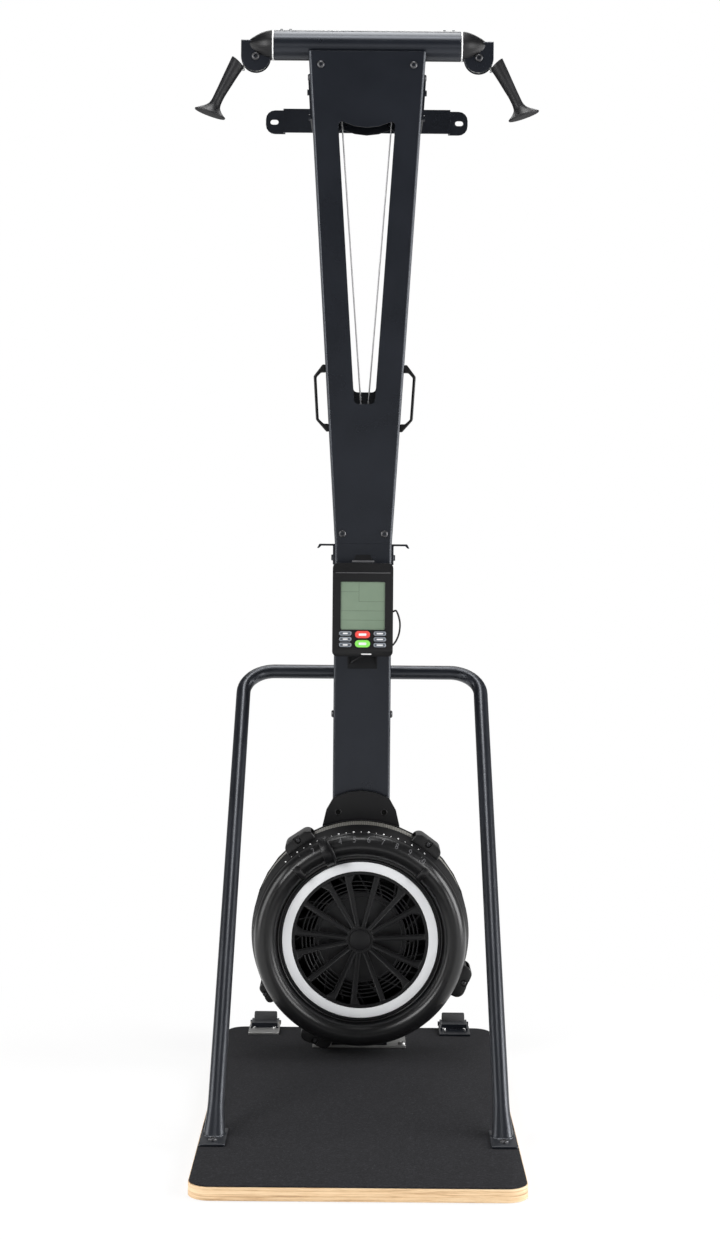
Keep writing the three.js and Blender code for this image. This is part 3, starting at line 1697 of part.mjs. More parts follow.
// Brace: one bent tube, mitred on a foot plate at each end
const braceTopY = columnBackY + braceStandoff;
const braceFootY = -deckFrontY - braceFootLead;
const braceFootZ = deckTopZ + seatGap + bracePlateThickness;
const braceLow = new THREE.Vector3(0, -braceFootY, braceFootZ);
const braceHigh = new THREE.Vector3(0, braceTopY, braceTopHeight);
const braceUp = braceHigh.clone().sub(braceLow).normalize();
const braceRoute = [];
const cornerSteps = 2 * arcSegments;
for (const side of sides) {
  const points = [];
  const legX = side.sign * braceHalfWidth;
  const foot = braceLow.clone().addScaledVector(braceUp, -2 * braceRadius).setX(legX);
  points.push(foot);
  for (let i = 0; i <= cornerSteps; i += 1) {
    const turn = Math.PI / 2 * i / cornerSteps;
    const along = braceHigh.clone().addScaledVector(braceUp, braceBend * (Math.sin(turn) - 1));
    points.push(along.setX(legX - side.sign * braceBend * (1 - Math.cos(turn))));
  }
  if (side.sign < 0) braceRoute.push(...points);
  else braceRoute.push(...points.reverse());
}
const bracePlates = sides.flatMap((side) => {
  const x = side.sign * braceHalfWidth;
  const y = -braceFootY + bracePlateLength / 2 - bracePlateLead;
  const z = braceFootZ - bracePlateThickness;
  return [
    block(bracePlateWidth, bracePlateLength, bracePlateThickness)
      .translate(x, y, z + bracePlateThickness / 2),
    boltUp(boltRadius, boltHeight, x, -braceFootY - braceBoltLead, braceFootZ),
  ];
});
const belowPlates = block(deckWidth, deckLength, 2 * deckTopZ)
  .translate(0, 0, seatGap + bracePlateThickness / 2);
addPart(
  assembly(),
  'brace',
  join(cut(tubeAlong(braceRoute, braceRadius, tubeHalfSides), belowPlates), ...bracePlates),
  finishes.powderCoat,
);

// Brace saddle behind the column
const saddleBlock = block(saddleWidth, braceStandoff - seatGap, saddleHeight)
  .translate(0, columnBackY + (braceStandoff + seatGap) / 2, braceTopHeight);
addPart(
  assembly(),
  'brace_saddle',
  cut(
    saddleBlock,
    rodX(braceRadius + seatGap, saddleWidth + 2 * overrun, mediumSides)
      .translate(0, braceTopY, braceTopHeight),
  ),
  finishes.powderCoat,
);

// Transport rollers and their brackets at the deck's back corners
const plateBackY = deckBackY - seatGap;
const plateLowZ = deckTopZ + seatGap;
const rollerY = deckBackY + rollerOverhang;
const cheekX = rollerWidth / 2 + axleClearance + cheekThickness / 2;
const cheekOutline = new THREE.Shape();
cheekOutline.moveTo(plateBackY - rollerPlateLength / 2, plateLowZ);
cheekOutline.lineTo(plateBackY, plateLowZ);
cheekOutline.absarc(rollerY, rollerHeight, cheekRadius, -Math.PI / 2, Math.PI / 2);
cheekOutline.lineTo(plateBackY - rollerPlateLength / 2, plateLowZ + 2 * rollerPlateSheet);
const pinLength = 2 * (cheekX + cheekThickness + boltHeight / 2);
for (const side of sides) {
  const group = assembly(side.sign * rollerX, 0, 0);
  const cheeks = [-1, 1].map((end) => sideways(cheekOutline, cheekThickness)
    .translate(end * cheekX, 0, 0));
  addPart(
    group,
    `wheel_bracket_${side.name}`,
    join(
      block(rollerPlateWidth, rollerPlateLength, rollerPlateSheet)
        .translate(0, plateBackY - rollerPlateLength / 2, plateLowZ + rollerPlateSheet / 2),
      block(2 * cheekX, rollerBridgeLength, rollerBridgeHeight)
        .translate(0, plateBackY - rollerBridgeLength / 2, plateLowZ + rollerBridgeHeight / 2),
      ...cheeks,
      rodX(rollerPin, pinLength).translate(0, rollerY, rollerHeight),
    ),
    side.sign < 0 ? finishes.zinc : finishes.powderCoat,
  );
  const edge = rollerWidth / 2;
  addPart(
    group,
    `wheel_${side.name}`,
    turned([
      [rollerPin + runGap, -edge],
      [rollerRadius - seatGap, -edge],
      [rollerRadius, seatGap - edge],
      [rollerRadius, edge - seatGap],
      [rollerRadius - seatGap, edge],
      [rollerPin + runGap, edge],
    ], mediumSides).rotateZ(-Math.PI / 2).translate(0, rollerY, rollerHeight),
    finishes.blackRubber,
  );
}

export default parts;
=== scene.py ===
import math

import bpy
from mathutils import Matrix, Vector


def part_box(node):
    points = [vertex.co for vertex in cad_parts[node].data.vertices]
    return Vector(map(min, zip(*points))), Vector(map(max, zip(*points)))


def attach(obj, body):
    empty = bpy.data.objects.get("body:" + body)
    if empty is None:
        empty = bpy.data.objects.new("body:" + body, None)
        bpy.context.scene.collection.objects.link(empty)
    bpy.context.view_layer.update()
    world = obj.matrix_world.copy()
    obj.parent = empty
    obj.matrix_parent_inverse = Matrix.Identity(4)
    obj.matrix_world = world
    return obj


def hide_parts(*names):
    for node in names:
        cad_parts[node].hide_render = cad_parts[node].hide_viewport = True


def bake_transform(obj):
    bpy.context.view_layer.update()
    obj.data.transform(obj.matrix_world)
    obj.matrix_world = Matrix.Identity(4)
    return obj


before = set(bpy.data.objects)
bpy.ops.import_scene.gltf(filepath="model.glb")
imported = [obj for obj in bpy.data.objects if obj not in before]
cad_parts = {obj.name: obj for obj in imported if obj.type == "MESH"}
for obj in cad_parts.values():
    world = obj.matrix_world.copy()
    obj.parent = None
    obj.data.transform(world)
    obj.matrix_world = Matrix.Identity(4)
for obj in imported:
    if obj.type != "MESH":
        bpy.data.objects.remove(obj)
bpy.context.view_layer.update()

# Sizes shared by the pieces, in metres
FAN_Z = 0.2643
FAN_FACE = 0.2295
BAND_R = 0.2215
HEAD_Y = 0.4455
HEAD_Z = 2.1172
HEAD_R = 0.03175
OUTER_PULLEY_X = 0.236
OUTER_PULLEY_Z = 2.0912
INNER_PULLEY_X = 0.0792
INNER_PULLEY_Z = 2.0686
OUTER_GROOVE_R = 0.026
INNER_GROOVE_R = 0.018
CORD_R = 0.0016
COLUMN_FRONT = 0.4035
COLUMN_HALF = 0.06
CHANNEL_LOW = 1.0638
CHANNEL_SLOPE = 0.06168
DECK_TOP = 0.0248
DECK_CORNER = 0.038
FOOT_TOP = 0.0311
SMALL_PLATE_TOP = 0.0291
ROLLER_PLATE = 0.0045
BRACE_HALF = 0.254

# Radius that a corner is broken to, by how the piece is made
FOLDED_EDGE = 0.0008
CUT_EDGE = 0.0006
TURNED_EDGE = 0.0004
MOULDED_EDGE = 0.0016

# Head radius and height of the bolts that hold the frame together
BOLT = (0.0078, 0.0048)
LOW_BOLT = (0.0078, 0.0046)

# Points nearer than this are one point
MERGE = 0.000005

FORWARD = (0.0, -1.0, 0.0)
UP = (0.0, 0.0, 1.0)
SIDES = (("left", -1), ("right", 1))


# Camera and lamps

def camera():
    bpy.ops.object.camera_add(
        location=(0.0, -4.2145, 1.1045),
        rotation=(math.radians(90), math.radians(-0.475), 0.0),
    )
    eye = bpy.context.object
    eye.data.lens, eye.data.sensor_width = 63.87, 36.0
    eye.data.sensor_fit = "AUTO"
    eye.data.shift_x = -0.0028
    eye.data.shift_y = -0.0774
    bpy.context.scene.camera = eye


def softbox(name, place, aim, size, power, spread_angle=180.0):
    bpy.ops.object.light_add(type="AREA", location=place)
    lamp = bpy.context.object
    lamp.name = name
    lamp.data.shape = "RECTANGLE"
    lamp.data.size, lamp.data.size_y = size
    lamp.data.energy = power
    lamp.data.spread = math.radians(spread_angle)
    lamp.rotation_euler = (Vector(aim) - Vector(place)).to_track_quat("-Z", "Y").to_euler()


def studio():
    softbox("key_softbox", (-2.6, -2.8, 2.4), (0.0, 0.2, 1.0), (1.2, 2.6), 105.0)
    softbox("fill_softbox", (2.8, -2.6, 1.9), (0.0, 0.2, 1.0), (1.2, 2.8), 80.0)
    softbox("top_gridded_softbox", (0.0, -0.1, 3.05), (0.0, 0.45, 2.117), (1.5, 0.55), 1.3, 36.0)
    softbox("top_softbox", (0.0, 0.75, 4.4), (0.0, 0.1, 0.3), (1.0, 1.7), 46.0)
    softbox("back_softbox", (0.0, 2.4, 3.4), (0.0, 0.3, 0.6), (2.4, 0.8), 22.0)
    softbox("side_softbox_left", (-3.2, 0.15, 1.5), (0.0, 0.4, 1.0), (1.6, 2.8), 60.0)
    softbox("side_softbox_right", (3.2, 0.15, 1.5), (0.0, 0.4, 1.0), (1.6, 2.8), 130.0)


# Node helpers

def new_material(name):
    material = bpy.data.materials.new(name)
    material.use_nodes = True
    tree = material.node_tree
    shader = tree.nodes["Principled BSDF"]
    return material, tree, shader


# Sets inputs by their names, with _ for a space
def tune(made, **levels):
    for key, value in levels.items():
        made.inputs[key.replace("_", " ")].default_value = value


def node(tree, kind, **settings):
    made = tree.nodes.new(kind)
    for key, value in settings.items():
        if key.replace("_", " ") in made.inputs:
            tune(made, **{key: value})
        else:
            setattr(made, key, value)
    return made


def reckon(tree, operation, *values):
    made = node(tree, "ShaderNodeMath", operation=operation)
    for socket, value in zip(made.inputs, values):
        if isinstance(value, float):
            socket.default_value = value
        else:
            tree.links.new(value, socket)
    return made.outputs[0]


def split(tree, vector):
    made = node(tree, "ShaderNodeSeparateXYZ")
    tree.links.new(vector, made.inputs["Vector"])
    return made.outputs


def coordinates(tree, scale=(1.0, 1.0, 1.0), place=(0.0, 0.0, 0.0)):
    source = node(tree, "ShaderNodeTexCoord")
    mapping = node(tree, "ShaderNodeMapping", Scale=scale, Location=place)
    tree.links.new(source.outputs["Object"], mapping.inputs["Vector"])
    return mapping.outputs["Vector"]


def noise(tree, vector, scale, detail=3.0, roughness=0.55):
    made = node(tree, "ShaderNodeTexNoise", Scale=scale, Detail=detail, Roughness=roughness)
    tree.links.new(vector, made.inputs["Vector"])
    return made.outputs["Fac"]


def ramp(tree, factor, stops):
    made = node(tree, "ShaderNodeValToRGB")
    band = made.color_ramp
    while len(band.elements) < len(stops):
        band.elements.new(0.5)
    for element, (place, colour) in zip(band.elements, stops):
        element.position = place
        element.color = (*colour, 1.0)
    tree.links.new(factor, made.inputs["Fac"])
    return made.outputs["Color"]


def spread(tree, factor, low, high, first=0.0, last=1.0):
    made = node(tree, "ShaderNodeMapRange", From_Min=first, From_Max=last, To_Min=low, To_Max=high)
    tree.links.new(factor, made.inputs["Value"])
    return made.outputs["Result"]


def bump(tree, shader, height, strength, distance):
    made = node(tree, "ShaderNodeBump", Strength=strength, Distance=distance)
    tree.links.new(height, made.inputs["Height"])
    tree.links.new(made.outputs["Normal"], shader.inputs["Normal"])


def tinted(tree, shader, factor, stops):
    tree.links.new(ramp(tree, factor, stops), shader.inputs["Base Color"])


def clouded(tree, shader, clouds, dark, light, rough):
    tinted(tree, shader, clouds, [(0.3, dark), (0.7, light)])
    tree.links.new(spread(tree, clouds, *rough), shader.inputs["Roughness"])


# A finish whose colour, roughness and relief vary a little over the surface
def varied(name, dark, light, rough, metal=0.0, grain=900.0, relief=0.04, specular=0.5):
    material, tree, shader = new_material(name)
    place = coordinates(tree)
    fine = noise(tree, place, grain, 2.0)
    clouded(tree, shader, noise(tree, place, 9.0), dark, light, rough)
    tune(shader, Metallic=metal, Specular_IOR_Level=specular)
    bump(tree, shader, fine, relief, 0.0002)
    return material


# Streaks along the way the metal was rolled or turned
def brushed(name, dark, light, rough, stretch, metal=1.0):
    material, tree, shader = new_material(name)
    streaks = noise(tree, coordinates(tree, scale=stretch), 60.0, 4.0, 0.7)
    clouded(tree, shader, streaks, dark, light, rough)
    tune(shader, Metallic=metal)
    bump(tree, shader, streaks, 0.05, 0.0002)
    return material


# Thin pale and dark layers, stacked upwards, as on the sawn edge of plywood
def birch_edge():
    material, tree, shader = new_material("clear_birch_plywood")
    layers = noise(tree, coordinates(tree, scale=(1.6, 1.6, 150.0)), 1.0, 3.0, 0.6)
    streaks = noise(tree, coordinates(tree, scale=(14.0, 14.0, 520.0)), 1.0, 4.0, 0.75)
    blend = node(tree, "ShaderNodeMix", data_type="FLOAT", Factor=0.5)
    tree.links.new(layers, blend.inputs["A"])
    tree.links.new(streaks, blend.inputs["B"])
    tones = [
        (0.34, (0.30, 0.17, 0.085)),
        (0.42, (0.56, 0.36, 0.19)),
        (0.50, (0.78, 0.55, 0.32)),
        (0.62, (0.88, 0.68, 0.44)),
    ]
    tinted(tree, shader, blend.outputs["Result"], tones)
    tune(shader, Roughness=0.5, Coat_Weight=0.2, Coat_Roughness=0.35)
    bump(tree, shader, blend.outputs["Result"], 0.15, 0.0004)
    return material


# Fine rubber crumb with paler specks
def grip_mat():
    material, tree, shader = new_material("charcoal_grip_mat")
    place = coordinates(tree)
    cells = node(tree, "ShaderNodeTexVoronoi", Scale=700.0)
    tree.links.new(place, cells.inputs["Vector"])
    speckle = noise(tree, place, 260.0, 3.0, 0.8)
    tones = [
        (0.40, (0.009, 0.009, 0.0105)),
        (0.60, (0.017, 0.017, 0.020)),
        (0.74, (0.045, 0.045, 0.051)),
    ]
    tinted(tree, shader, speckle, tones)
    tune(shader, Roughness=0.9, Specular_IOR_Level=0.25)
    bump(tree, shader, cells.outputs["Distance"], 0.35, 0.0008)
    return material


# Round holes in close rows on a band that runs round the fan's axle
def perforated():
    material, tree, shader = new_material("grey_perforated_sheet")
    source = node(tree, "ShaderNodeTexCoord")
    across, along, rise = split(tree, source.outputs["Object"])
    turn = reckon(tree, "ARCTAN2", reckon(tree, "SUBTRACT", rise, FAN_Z), across)
    flat = node(tree, "ShaderNodeCombineXYZ")
    tree.links.new(reckon(tree, "MULTIPLY", turn, BAND_R), flat.inputs["X"])
    tree.links.new(along, flat.inputs["Y"])
    holes = node(tree, "ShaderNodeTexVoronoi", voronoi_dimensions="2D", Scale=260.0, Randomness=0.12)
    tree.links.new(flat.outputs["Vector"], holes.inputs["Vector"])
    tones = [(0.30, (0.012, 0.012, 0.012)), (0.36, (0.38, 0.37, 0.335))]
    tinted(tree, shader, holes.outputs["Distance"], tones)
    tune(shader, Roughness=0.45, Metallic=0.5)
    bump(tree, shader, holes.outputs["Distance"], 0.4, 0.0006)
    return material


# Slanting strands, lighter and darker by turns
def braided_cord():
    material, tree, shader = new_material("light_grey_braided_cord")
    wave = node(
        tree,
        "ShaderNodeTexWave",
        wave_type="BANDS",
        bands_direction="DIAGONAL",
        Scale=320.0,
        Distortion=2.0,
    )
    tree.links.new(coordinates(tree), wave.inputs["Vector"])
    tones = [(0.1, (0.46, 0.46, 0.47)), (0.6, (0.74, 0.74, 0.75)), (1.0, (0.88, 0.88, 0.88))]
    tinted(tree, shader, wave.outputs["Fac"], tones)
    tune(shader, Roughness=0.8)
    bump(tree, shader, wave.outputs["Fac"], 0.4, 0.0003)
    return material


# Cool highlights, as on a blue-black powder coat
def cooled(material):
    tune(material.node_tree.nodes["Principled BSDF"], Specular_Tint=(0.88, 0.92, 1.0, 1.0))
    return material


BLUE_BLACK = ((0.0046, 0.0056, 0.0082), (0.0072, 0.0085, 0.0122))

powder = cooled(varied("satin_black_powder_coat", *BLUE_BLACK, (0.25, 0.31), relief=0.014))
tube_paint = cooled(varied(
    "satin_black_tube_paint", *BLUE_BLACK, (0.29, 0.35), relief=0.008, specular=0.75,
))
bracket_black = varied(
    "matt_black_powder_coat", (0.0030, 0.0032, 0.0040), (0.0050, 0.0054, 0.0066), (0.5, 0.6),
    specular=0.2,
)
moulded = varied(
    "moulded_black_plastic", (0.0042, 0.0042, 0.0048), (0.0072, 0.0072, 0.008), (0.32, 0.40),
    grain=1400.0, specular=0.3,
)
gloss = varied(
    "semi_gloss_black_plastic", (0.005, 0.005, 0.0055), (0.009, 0.009, 0.0095), (0.26, 0.32),
    grain=1600.0, relief=0.02, specular=0.4,
)
# Rougher, less reflective copy of the black plastic for the skirt, darker in colour as painted shade
matt_skirt_with_painted_shade = varied(
    "matt_black_plastic_with_painted_shade", (0.0035, 0.0035, 0.0040), (0.0060, 0.0060, 0.0066), (0.55, 0.65),
    grain=1400.0, specular=0.15,
)
rubber = varied(
    "dull_black_rubber", (0.0055, 0.0055, 0.0065), (0.0095, 0.0095, 0.0110), (0.40, 0.50),
    grain=600.0, relief=0.02, specular=0.3,
)
tyre = varied(
    "roller_rubber", (0.012, 0.012, 0.013), (0.024, 0.024, 0.026), (0.6, 0.75),
    grain=500.0, relief=0.12,
)
zinc = brushed(
    "zinc_plated_steel", (0.36, 0.36, 0.35), (0.52, 0.52, 0.51), (0.34, 0.5), (1.0, 12.0, 12.0), 0.9,
)
steel = brushed(
    "turned_steel", (0.45, 0.46, 0.47), (0.62, 0.63, 0.64), (0.22, 0.34), (12.0, 1.0, 12.0),
)
bolt_black = varied(
    "black_oxide_screw", (0.045, 0.045, 0.048), (0.090, 0.090, 0.095), (0.28, 0.4), 0.7, 1800.0,
)
bolt_zinc = varied("zinc_screw", (0.42, 0.42, 0.42), (0.58, 0.58, 0.57), (0.28, 0.42), 0.9, 1500.0)
silver = varied(
    "light_silver_lacquer", (0.76, 0.77, 0.785), (0.82, 0.83, 0.845), (0.34, 0.44), 0.0, 2200.0, 0.03,
)
white = varied("white_plastic", (0.80, 0.80, 0.80), (0.86, 0.86, 0.86), (0.34, 0.44), 0.0, 1500.0, 0.02)
nylon = varied("off_white_nylon", (0.60, 0.60, 0.56), (0.70, 0.70, 0.66), (0.4, 0.5), 0.0, 900.0, 0.03)
mark_white = varied("printed_white", (0.72, 0.72, 0.72), (0.80, 0.80, 0.80), (0.5, 0.6), 0.0, 1500.0, 0.02)
# Grey of the scale numbers, also used as a painted highlight on the bracket tab's rib and the monitor's
# crease bead
number_grey_and_painted_highlight = varied("embossed_number_and_painted_highlight", (0.070, 0.070, 0.075), (0.105, 0.105, 0.11), (0.3, 0.4))

KEY_GRAIN = {"rough": (0.4, 0.5), "grain": 1500.0, "relief": 0.03}
red = varied("coral_red_key", (0.72, 0.055, 0.045), (0.80, 0.075, 0.06), **KEY_GRAIN)
green = varied("bright_green_key", (0.20, 0.66, 0.09), (0.26, 0.75, 0.13), **KEY_GRAIN)
slate = varied("slate_grey_key", (0.19, 0.21, 0.24), (0.26, 0.28, 0.31), **KEY_GRAIN)
slate_dark = varied("dark_slate_key_face", (0.07, 0.08, 0.095), (0.10, 0.11, 0.13), **KEY_GRAIN)

display = varied(
    "display_glass", (0.150, 0.208, 0.148), (0.185, 0.248, 0.178), (0.18, 0.26), 0.0, 300.0, 0.01,
)
segment = varied("display_line", (0.035, 0.045, 0.03), (0.05, 0.06, 0.04), (0.3, 0.4), 0.0, 600.0, 0.01)
blade = varied("dark_fan_blade", (0.010, 0.010, 0.011), (0.02, 0.02, 0.022), (0.4, 0.5), 0.2)
birch = birch_edge()
mat = grip_mat()
mesh_sheet = perforated()
braid = braided_cord()
# Near-black material for the discs inside the neck holes: painted shade
painted_hole_shade = varied(
    "painted_shade_in_holes", (0.0012, 0.0012, 0.0012), (0.0018, 0.0018, 0.0018), (0.7, 0.8), specular=0.1,
)


# Modelling helpers

def start():
    if bpy.context.object and bpy.context.object.mode != "OBJECT":
        bpy.ops.object.mode_set(mode="OBJECT")
    bpy.ops.object.select_all(action="DESELECT")


def activate(piece):
    start()
    piece.select_set(True)
    bpy.context.view_layer.objects.active = piece


def take(name):
    piece = bpy.context.object
    piece.name = name
    piece.data.name = name
    return piece


def settle(piece):
    activate(piece)
    bpy.ops.object.transform_apply(location=True, rotation=True, scale=True)
    return piece


def edit(selection="SELECT"):
    bpy.ops.object.mode_set(mode="EDIT")
    bpy.ops.mesh.select_all(action=selection)


def leave_edit():
    bpy.ops.object.mode_set(mode="OBJECT")


def turn_outwards():
    bpy.ops.mesh.select_all(action="SELECT")
    bpy.ops.mesh.normals_make_consistent(inside=False)
    leave_edit()


def cleaned(piece):
    activate(piece)
    edit()
    bpy.ops.mesh.remove_doubles(threshold=MERGE)
    bpy.ops.mesh.dissolve_degenerate(threshold=MERGE)
    turn_outwards()
    return piece


def modify(piece, kind, **settings):
    activate(piece)
    made = piece.modifiers.new(kind.lower(), kind)
    for key, value in settings.items():
        setattr(made, key, value)
    bpy.ops.object.modifier_apply(modifier=made.name)
    return piece


def even_shading(piece):
    return modify(piece, "WEIGHTED_NORMAL", keep_sharp=True, weight=100)


def rounded(piece, width, segments=2, angle=30.0):
    return modify(
        piece,
        "BEVEL",
        width=width,
        segments=segments,
        limit_method="ANGLE",
        angle_limit=math.radians(angle),
        use_clamp_overlap=True,
    )


def finished(piece, material, body, slot, *nodes, angle=34.0):
    if material is not None:
        piece.data.materials.clear()
        piece.data.materials.append(material)
    activate(piece)
    bpy.ops.object.shade_smooth_by_angle(angle=math.radians(angle))
    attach(piece, body)
    if nodes:
        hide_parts(*nodes)
    return piece


# A machined or folded piece as it stands, with its corners broken
def carried(node_name, material, body, slot, width, segments=2, corner=30.0):
    piece = bpy.data.objects.new(node_name + "_finished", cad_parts[node_name].data.copy())
    bpy.context.collection.objects.link(piece)
    activate(piece)
    edit()
    bpy.ops.mesh.remove_doubles(threshold=MERGE)
    bpy.ops.mesh.dissolve_limited(angle_limit=math.radians(1.5))
    leave_edit()
    if width:
        rounded(piece, width, segments, corner)
    finished(piece, material, body, slot, node_name, angle=corner + 4.0)
    return even_shading(piece)


def painted(node_name, width=FOLDED_EDGE, **corners):
    return carried(node_name, powder, "frame", "powder_coat", width, **corners)


# A closed outline in the front view, given depth
def panel(name, outline, front, depth):
    start()
    bpy.ops.mesh.primitive_circle_add(vertices=len(outline), radius=1.0, fill_type="NGON")
    piece = take(name)
    for point, (x, z) in zip(piece.data.vertices, outline):
        point.co = (x, front, z)
    edit()
    bpy.ops.mesh.extrude_region_move(TRANSFORM_OT_translate={"value": (0.0, depth, 0.0)})
    turn_outwards()
    return piece


# A rod that lies along Y
def rod(name, radius, depth, place, sides):
    start()
    bpy.ops.mesh.primitive_cylinder_add(
        vertices=sides,
        radius=radius,
        depth=depth,
        location=place,
        rotation=(math.radians(90), 0.0, 0.0),
    )
    return settle(take(name))


def block(name, place, size):
    start()
    bpy.ops.mesh.primitive_cube_add(size=1.0, location=place)
    piece = take(name)
    piece.scale = size
    return settle(piece)


# A closed section of (radius, along) points spun round the Y axis
def turned(name, section, steps=96, centre=(0.0, 0.0, 0.0)):
    start()
    bpy.ops.mesh.primitive_circle_add(vertices=len(section), radius=1.0, fill_type="NOTHING")
    piece = take(name)
    for point, (radius, along) in zip(piece.data.vertices, section):
        point.co = (radius, along, 0.0)
    edit()
    bpy.ops.mesh.spin(
        steps=steps,
        angle=math.tau,
        use_auto_merge=True,
        center=(0.0, 0.0, 0.0),
        axis=(0.0, 1.0, 0.0),
    )
    leave_edit()
    cleaned(piece)
    piece.location = centre
    return settle(piece)


# The same, spun round a line along X
def turned_across(name, section, steps, centre):
    piece = turned(name, section, steps)
    piece.rotation_euler = (0.0, 0.0, math.radians(-90))
    settle(piece)
    piece.location = centre
    return settle(piece)


# The first half of a section, then the same points the other way round on the far side
def mirrored(section):
    return section + [(radius, -along) for radius, along in reversed(section)]


# A bar's section from low to high, its two high corners broken
def broken_corners(low, high, half, edge):
    nick = edge * 0.3
    return mirrored([(low, -half), (high - edge, -half), (high - nick, -half + nick), (high, -half + edge)])


# A skin with closed ends over a row of rings, each with the same number of points
def wrapped(name, rings):
    start()
    around = len(rings[0])
    bpy.ops.mesh.primitive_grid_add(x_subdivisions=around, y_subdivisions=len(rings) - 1, size=1.0)
    piece = take(name)
    for row, ring in enumerate(rings):
        for column in range(around + 1):
            piece.data.vertices[row * (around + 1) + column].co = ring[column % around]
    edit()
    bpy.ops.mesh.remove_doubles(threshold=MERGE)
    bpy.ops.mesh.fill_holes(sides=0)
    turn_outwards()
    return piece


def joined(name, pieces):
    start()
    for piece in pieces:
        piece.select_set(True)
    bpy.context.view_layer.objects.active = pieces[0]
    if len(pieces) > 1:
        bpy.ops.object.join()
    return take(name)


def copied(piece, name, matrix=Matrix.Identity(4)):
    made = bpy.data.objects.new(name, piece.data.copy())
    made.data.transform(matrix)
    bpy.context.collection.objects.link(made)
    return made


def removed(piece):
    bpy.data.objects.remove(piece, do_unlink=True)


def carved(piece, tool):
    modify(piece, "BOOLEAN", object=tool, operation="DIFFERENCE", solver="EXACT")
    removed(tool)
    return piece


def rounded_outline(width, height, radius, steps=8, middle=(0.0, 0.0)):
    outline = []
    corners = ((1, -1, -90), (1, 1, 0), (-1, 1, 90), (-1, -1, 180))
    for across, up, first in corners:
        x = middle[0] + across * (width / 2 - radius)
        z = middle[1] + up * (height / 2 - radius)
        for step in range(steps + 1):
            angle = math.radians(first + 90 * step / steps)
            outline.append((x + radius * math.cos(angle), z + radius * math.sin(angle)))
    return outline


# Button-head screw with a hexagon socket, its seat at the origin and its head towards -Y
def socket_screw(name, radius, height):
    section = [(0.0, 0.0), (radius, 0.0), (radius, -height * 0.45), (radius * 0.9, -height * 0.78)]
    section += [(radius * 0.68, -height), (0.0, -height)]
    head = turned(name, section, 32)
    return carved(head, rod(name + "_socket", radius * 0.5, height * 1.2, (0.0, -height, 0.0), 6))


def turn_to(direction, place):
    turn = Vector(FORWARD).rotation_difference(Vector(direction))
    return Matrix.Translation(place) @ turn.to_matrix().to_4x4()


def screws(name, places, radius, height, material, slot):
    model = socket_screw(name + "_model", radius, height)
    made = [
        copied(model, f"{name}_{count}", turn_to(direction, place))
        for count, (place, direction) in enumerate(places)
    ]
    removed(model)
    finished(joined(name, made), material, "frame", slot)


# A point of the smooth curve from b to c, a share t of the way, with a before and d after them
def through(a, b, c, d, t):
    return 0.5 * (
        2 * b
        + (c - a) * t
        + (2 * a - 5 * b + 4 * c - d) * t * t
        + (3 * b - a - 3 * c + d) * t ** 3
    )


# Floor and backdrop

def pale_floor():
    material, tree, shader = new_material("pale_floor")
    tones = [(0.2, (0.86, 0.86, 0.86)), (0.8, (0.90, 0.90, 0.90))]
    tinted(tree, shader, noise(tree, coordinates(tree), 1.2), tones)
    tune(shader, Roughness=0.9)
    # Away from the deck the floor goes over into the white backdrop
    rim = node(tree, "ShaderNodeTexGradient", gradient_type="SPHERICAL")
    place = coordinates(tree, scale=(0.62, 0.62, 0.62), place=(0.0, 0.25, 0.0))
    tree.links.new(place, rim.inputs["Vector"])
    outside = spread(tree, rim.outputs["Fac"], 1.0, 0.80, last=0.45)
    path = node(tree, "ShaderNodeLightPath")
    glow = node(tree, "ShaderNodeEmission", Strength=1.0)
    mixed = node(tree, "ShaderNodeMixShader")
    seen = reckon(tree, "MULTIPLY", path.outputs["Is Camera Ray"], outside)
    tree.links.new(seen, mixed.inputs["Fac"])
    tree.links.new(shader.outputs["BSDF"], mixed.inputs[1])
    tree.links.new(glow.outputs["Emission"], mixed.inputs[2])
    tree.links.new(mixed.outputs["Shader"], tree.nodes["Material Output"].inputs["Surface"])
    start()
    bpy.ops.mesh.primitive_plane_add(size=14.0, location=(0.0, 0.0, -0.0005))
    floor = settle(take("studio_floor"))
    floor.data.materials.append(material)


def backdrop():
    world = bpy.context.scene.world or bpy.data.worlds.new("studio")
    bpy.context.scene.world = world
    world.use_nodes = True
    tree = world.node_tree
    tree.nodes.clear()
    rays = node(tree, "ShaderNodeLightPath").outputs
    way = node(tree, "ShaderNodeTexCoord")
    _, depth, height = split(tree, way.outputs["Generated"])
    # The white wall behind the machine shows in grazing reflections
    wall = spread(tree, depth, 0.03, 0.30, 0.55, 0.95)
    # In front the room is bright low down and dark towards its ceiling
    front = spread(tree, height, 1.25, 0.0, -0.16, 0.12)
    ahead = reckon(tree, "MULTIPLY", front, reckon(tree, "LESS_THAN", depth, -0.5))
    room = reckon(tree, "MAXIMUM", wall, ahead)
    reflected = reckon(tree, "MULTIPLY", rays["Is Glossy Ray"], room)
    seen = reckon(tree, "MAXIMUM", rays["Is Camera Ray"], rays["Is Transmission Ray"])
    ambient = reckon(tree, "MULTIPLY", rays["Is Diffuse Ray"], 0.10)
    level = reckon(tree, "MAXIMUM", reckon(tree, "MAXIMUM", reflected, seen), ambient)
    glow = node(tree, "ShaderNodeBackground", Color=(1.0, 1.0, 1.0, 1.0))
    tree.links.new(level, glow.inputs["Strength"])
    out = node(tree, "ShaderNodeOutputWorld")
    tree.links.new(glow.outputs["Background"], out.inputs["Surface"])


# Deck

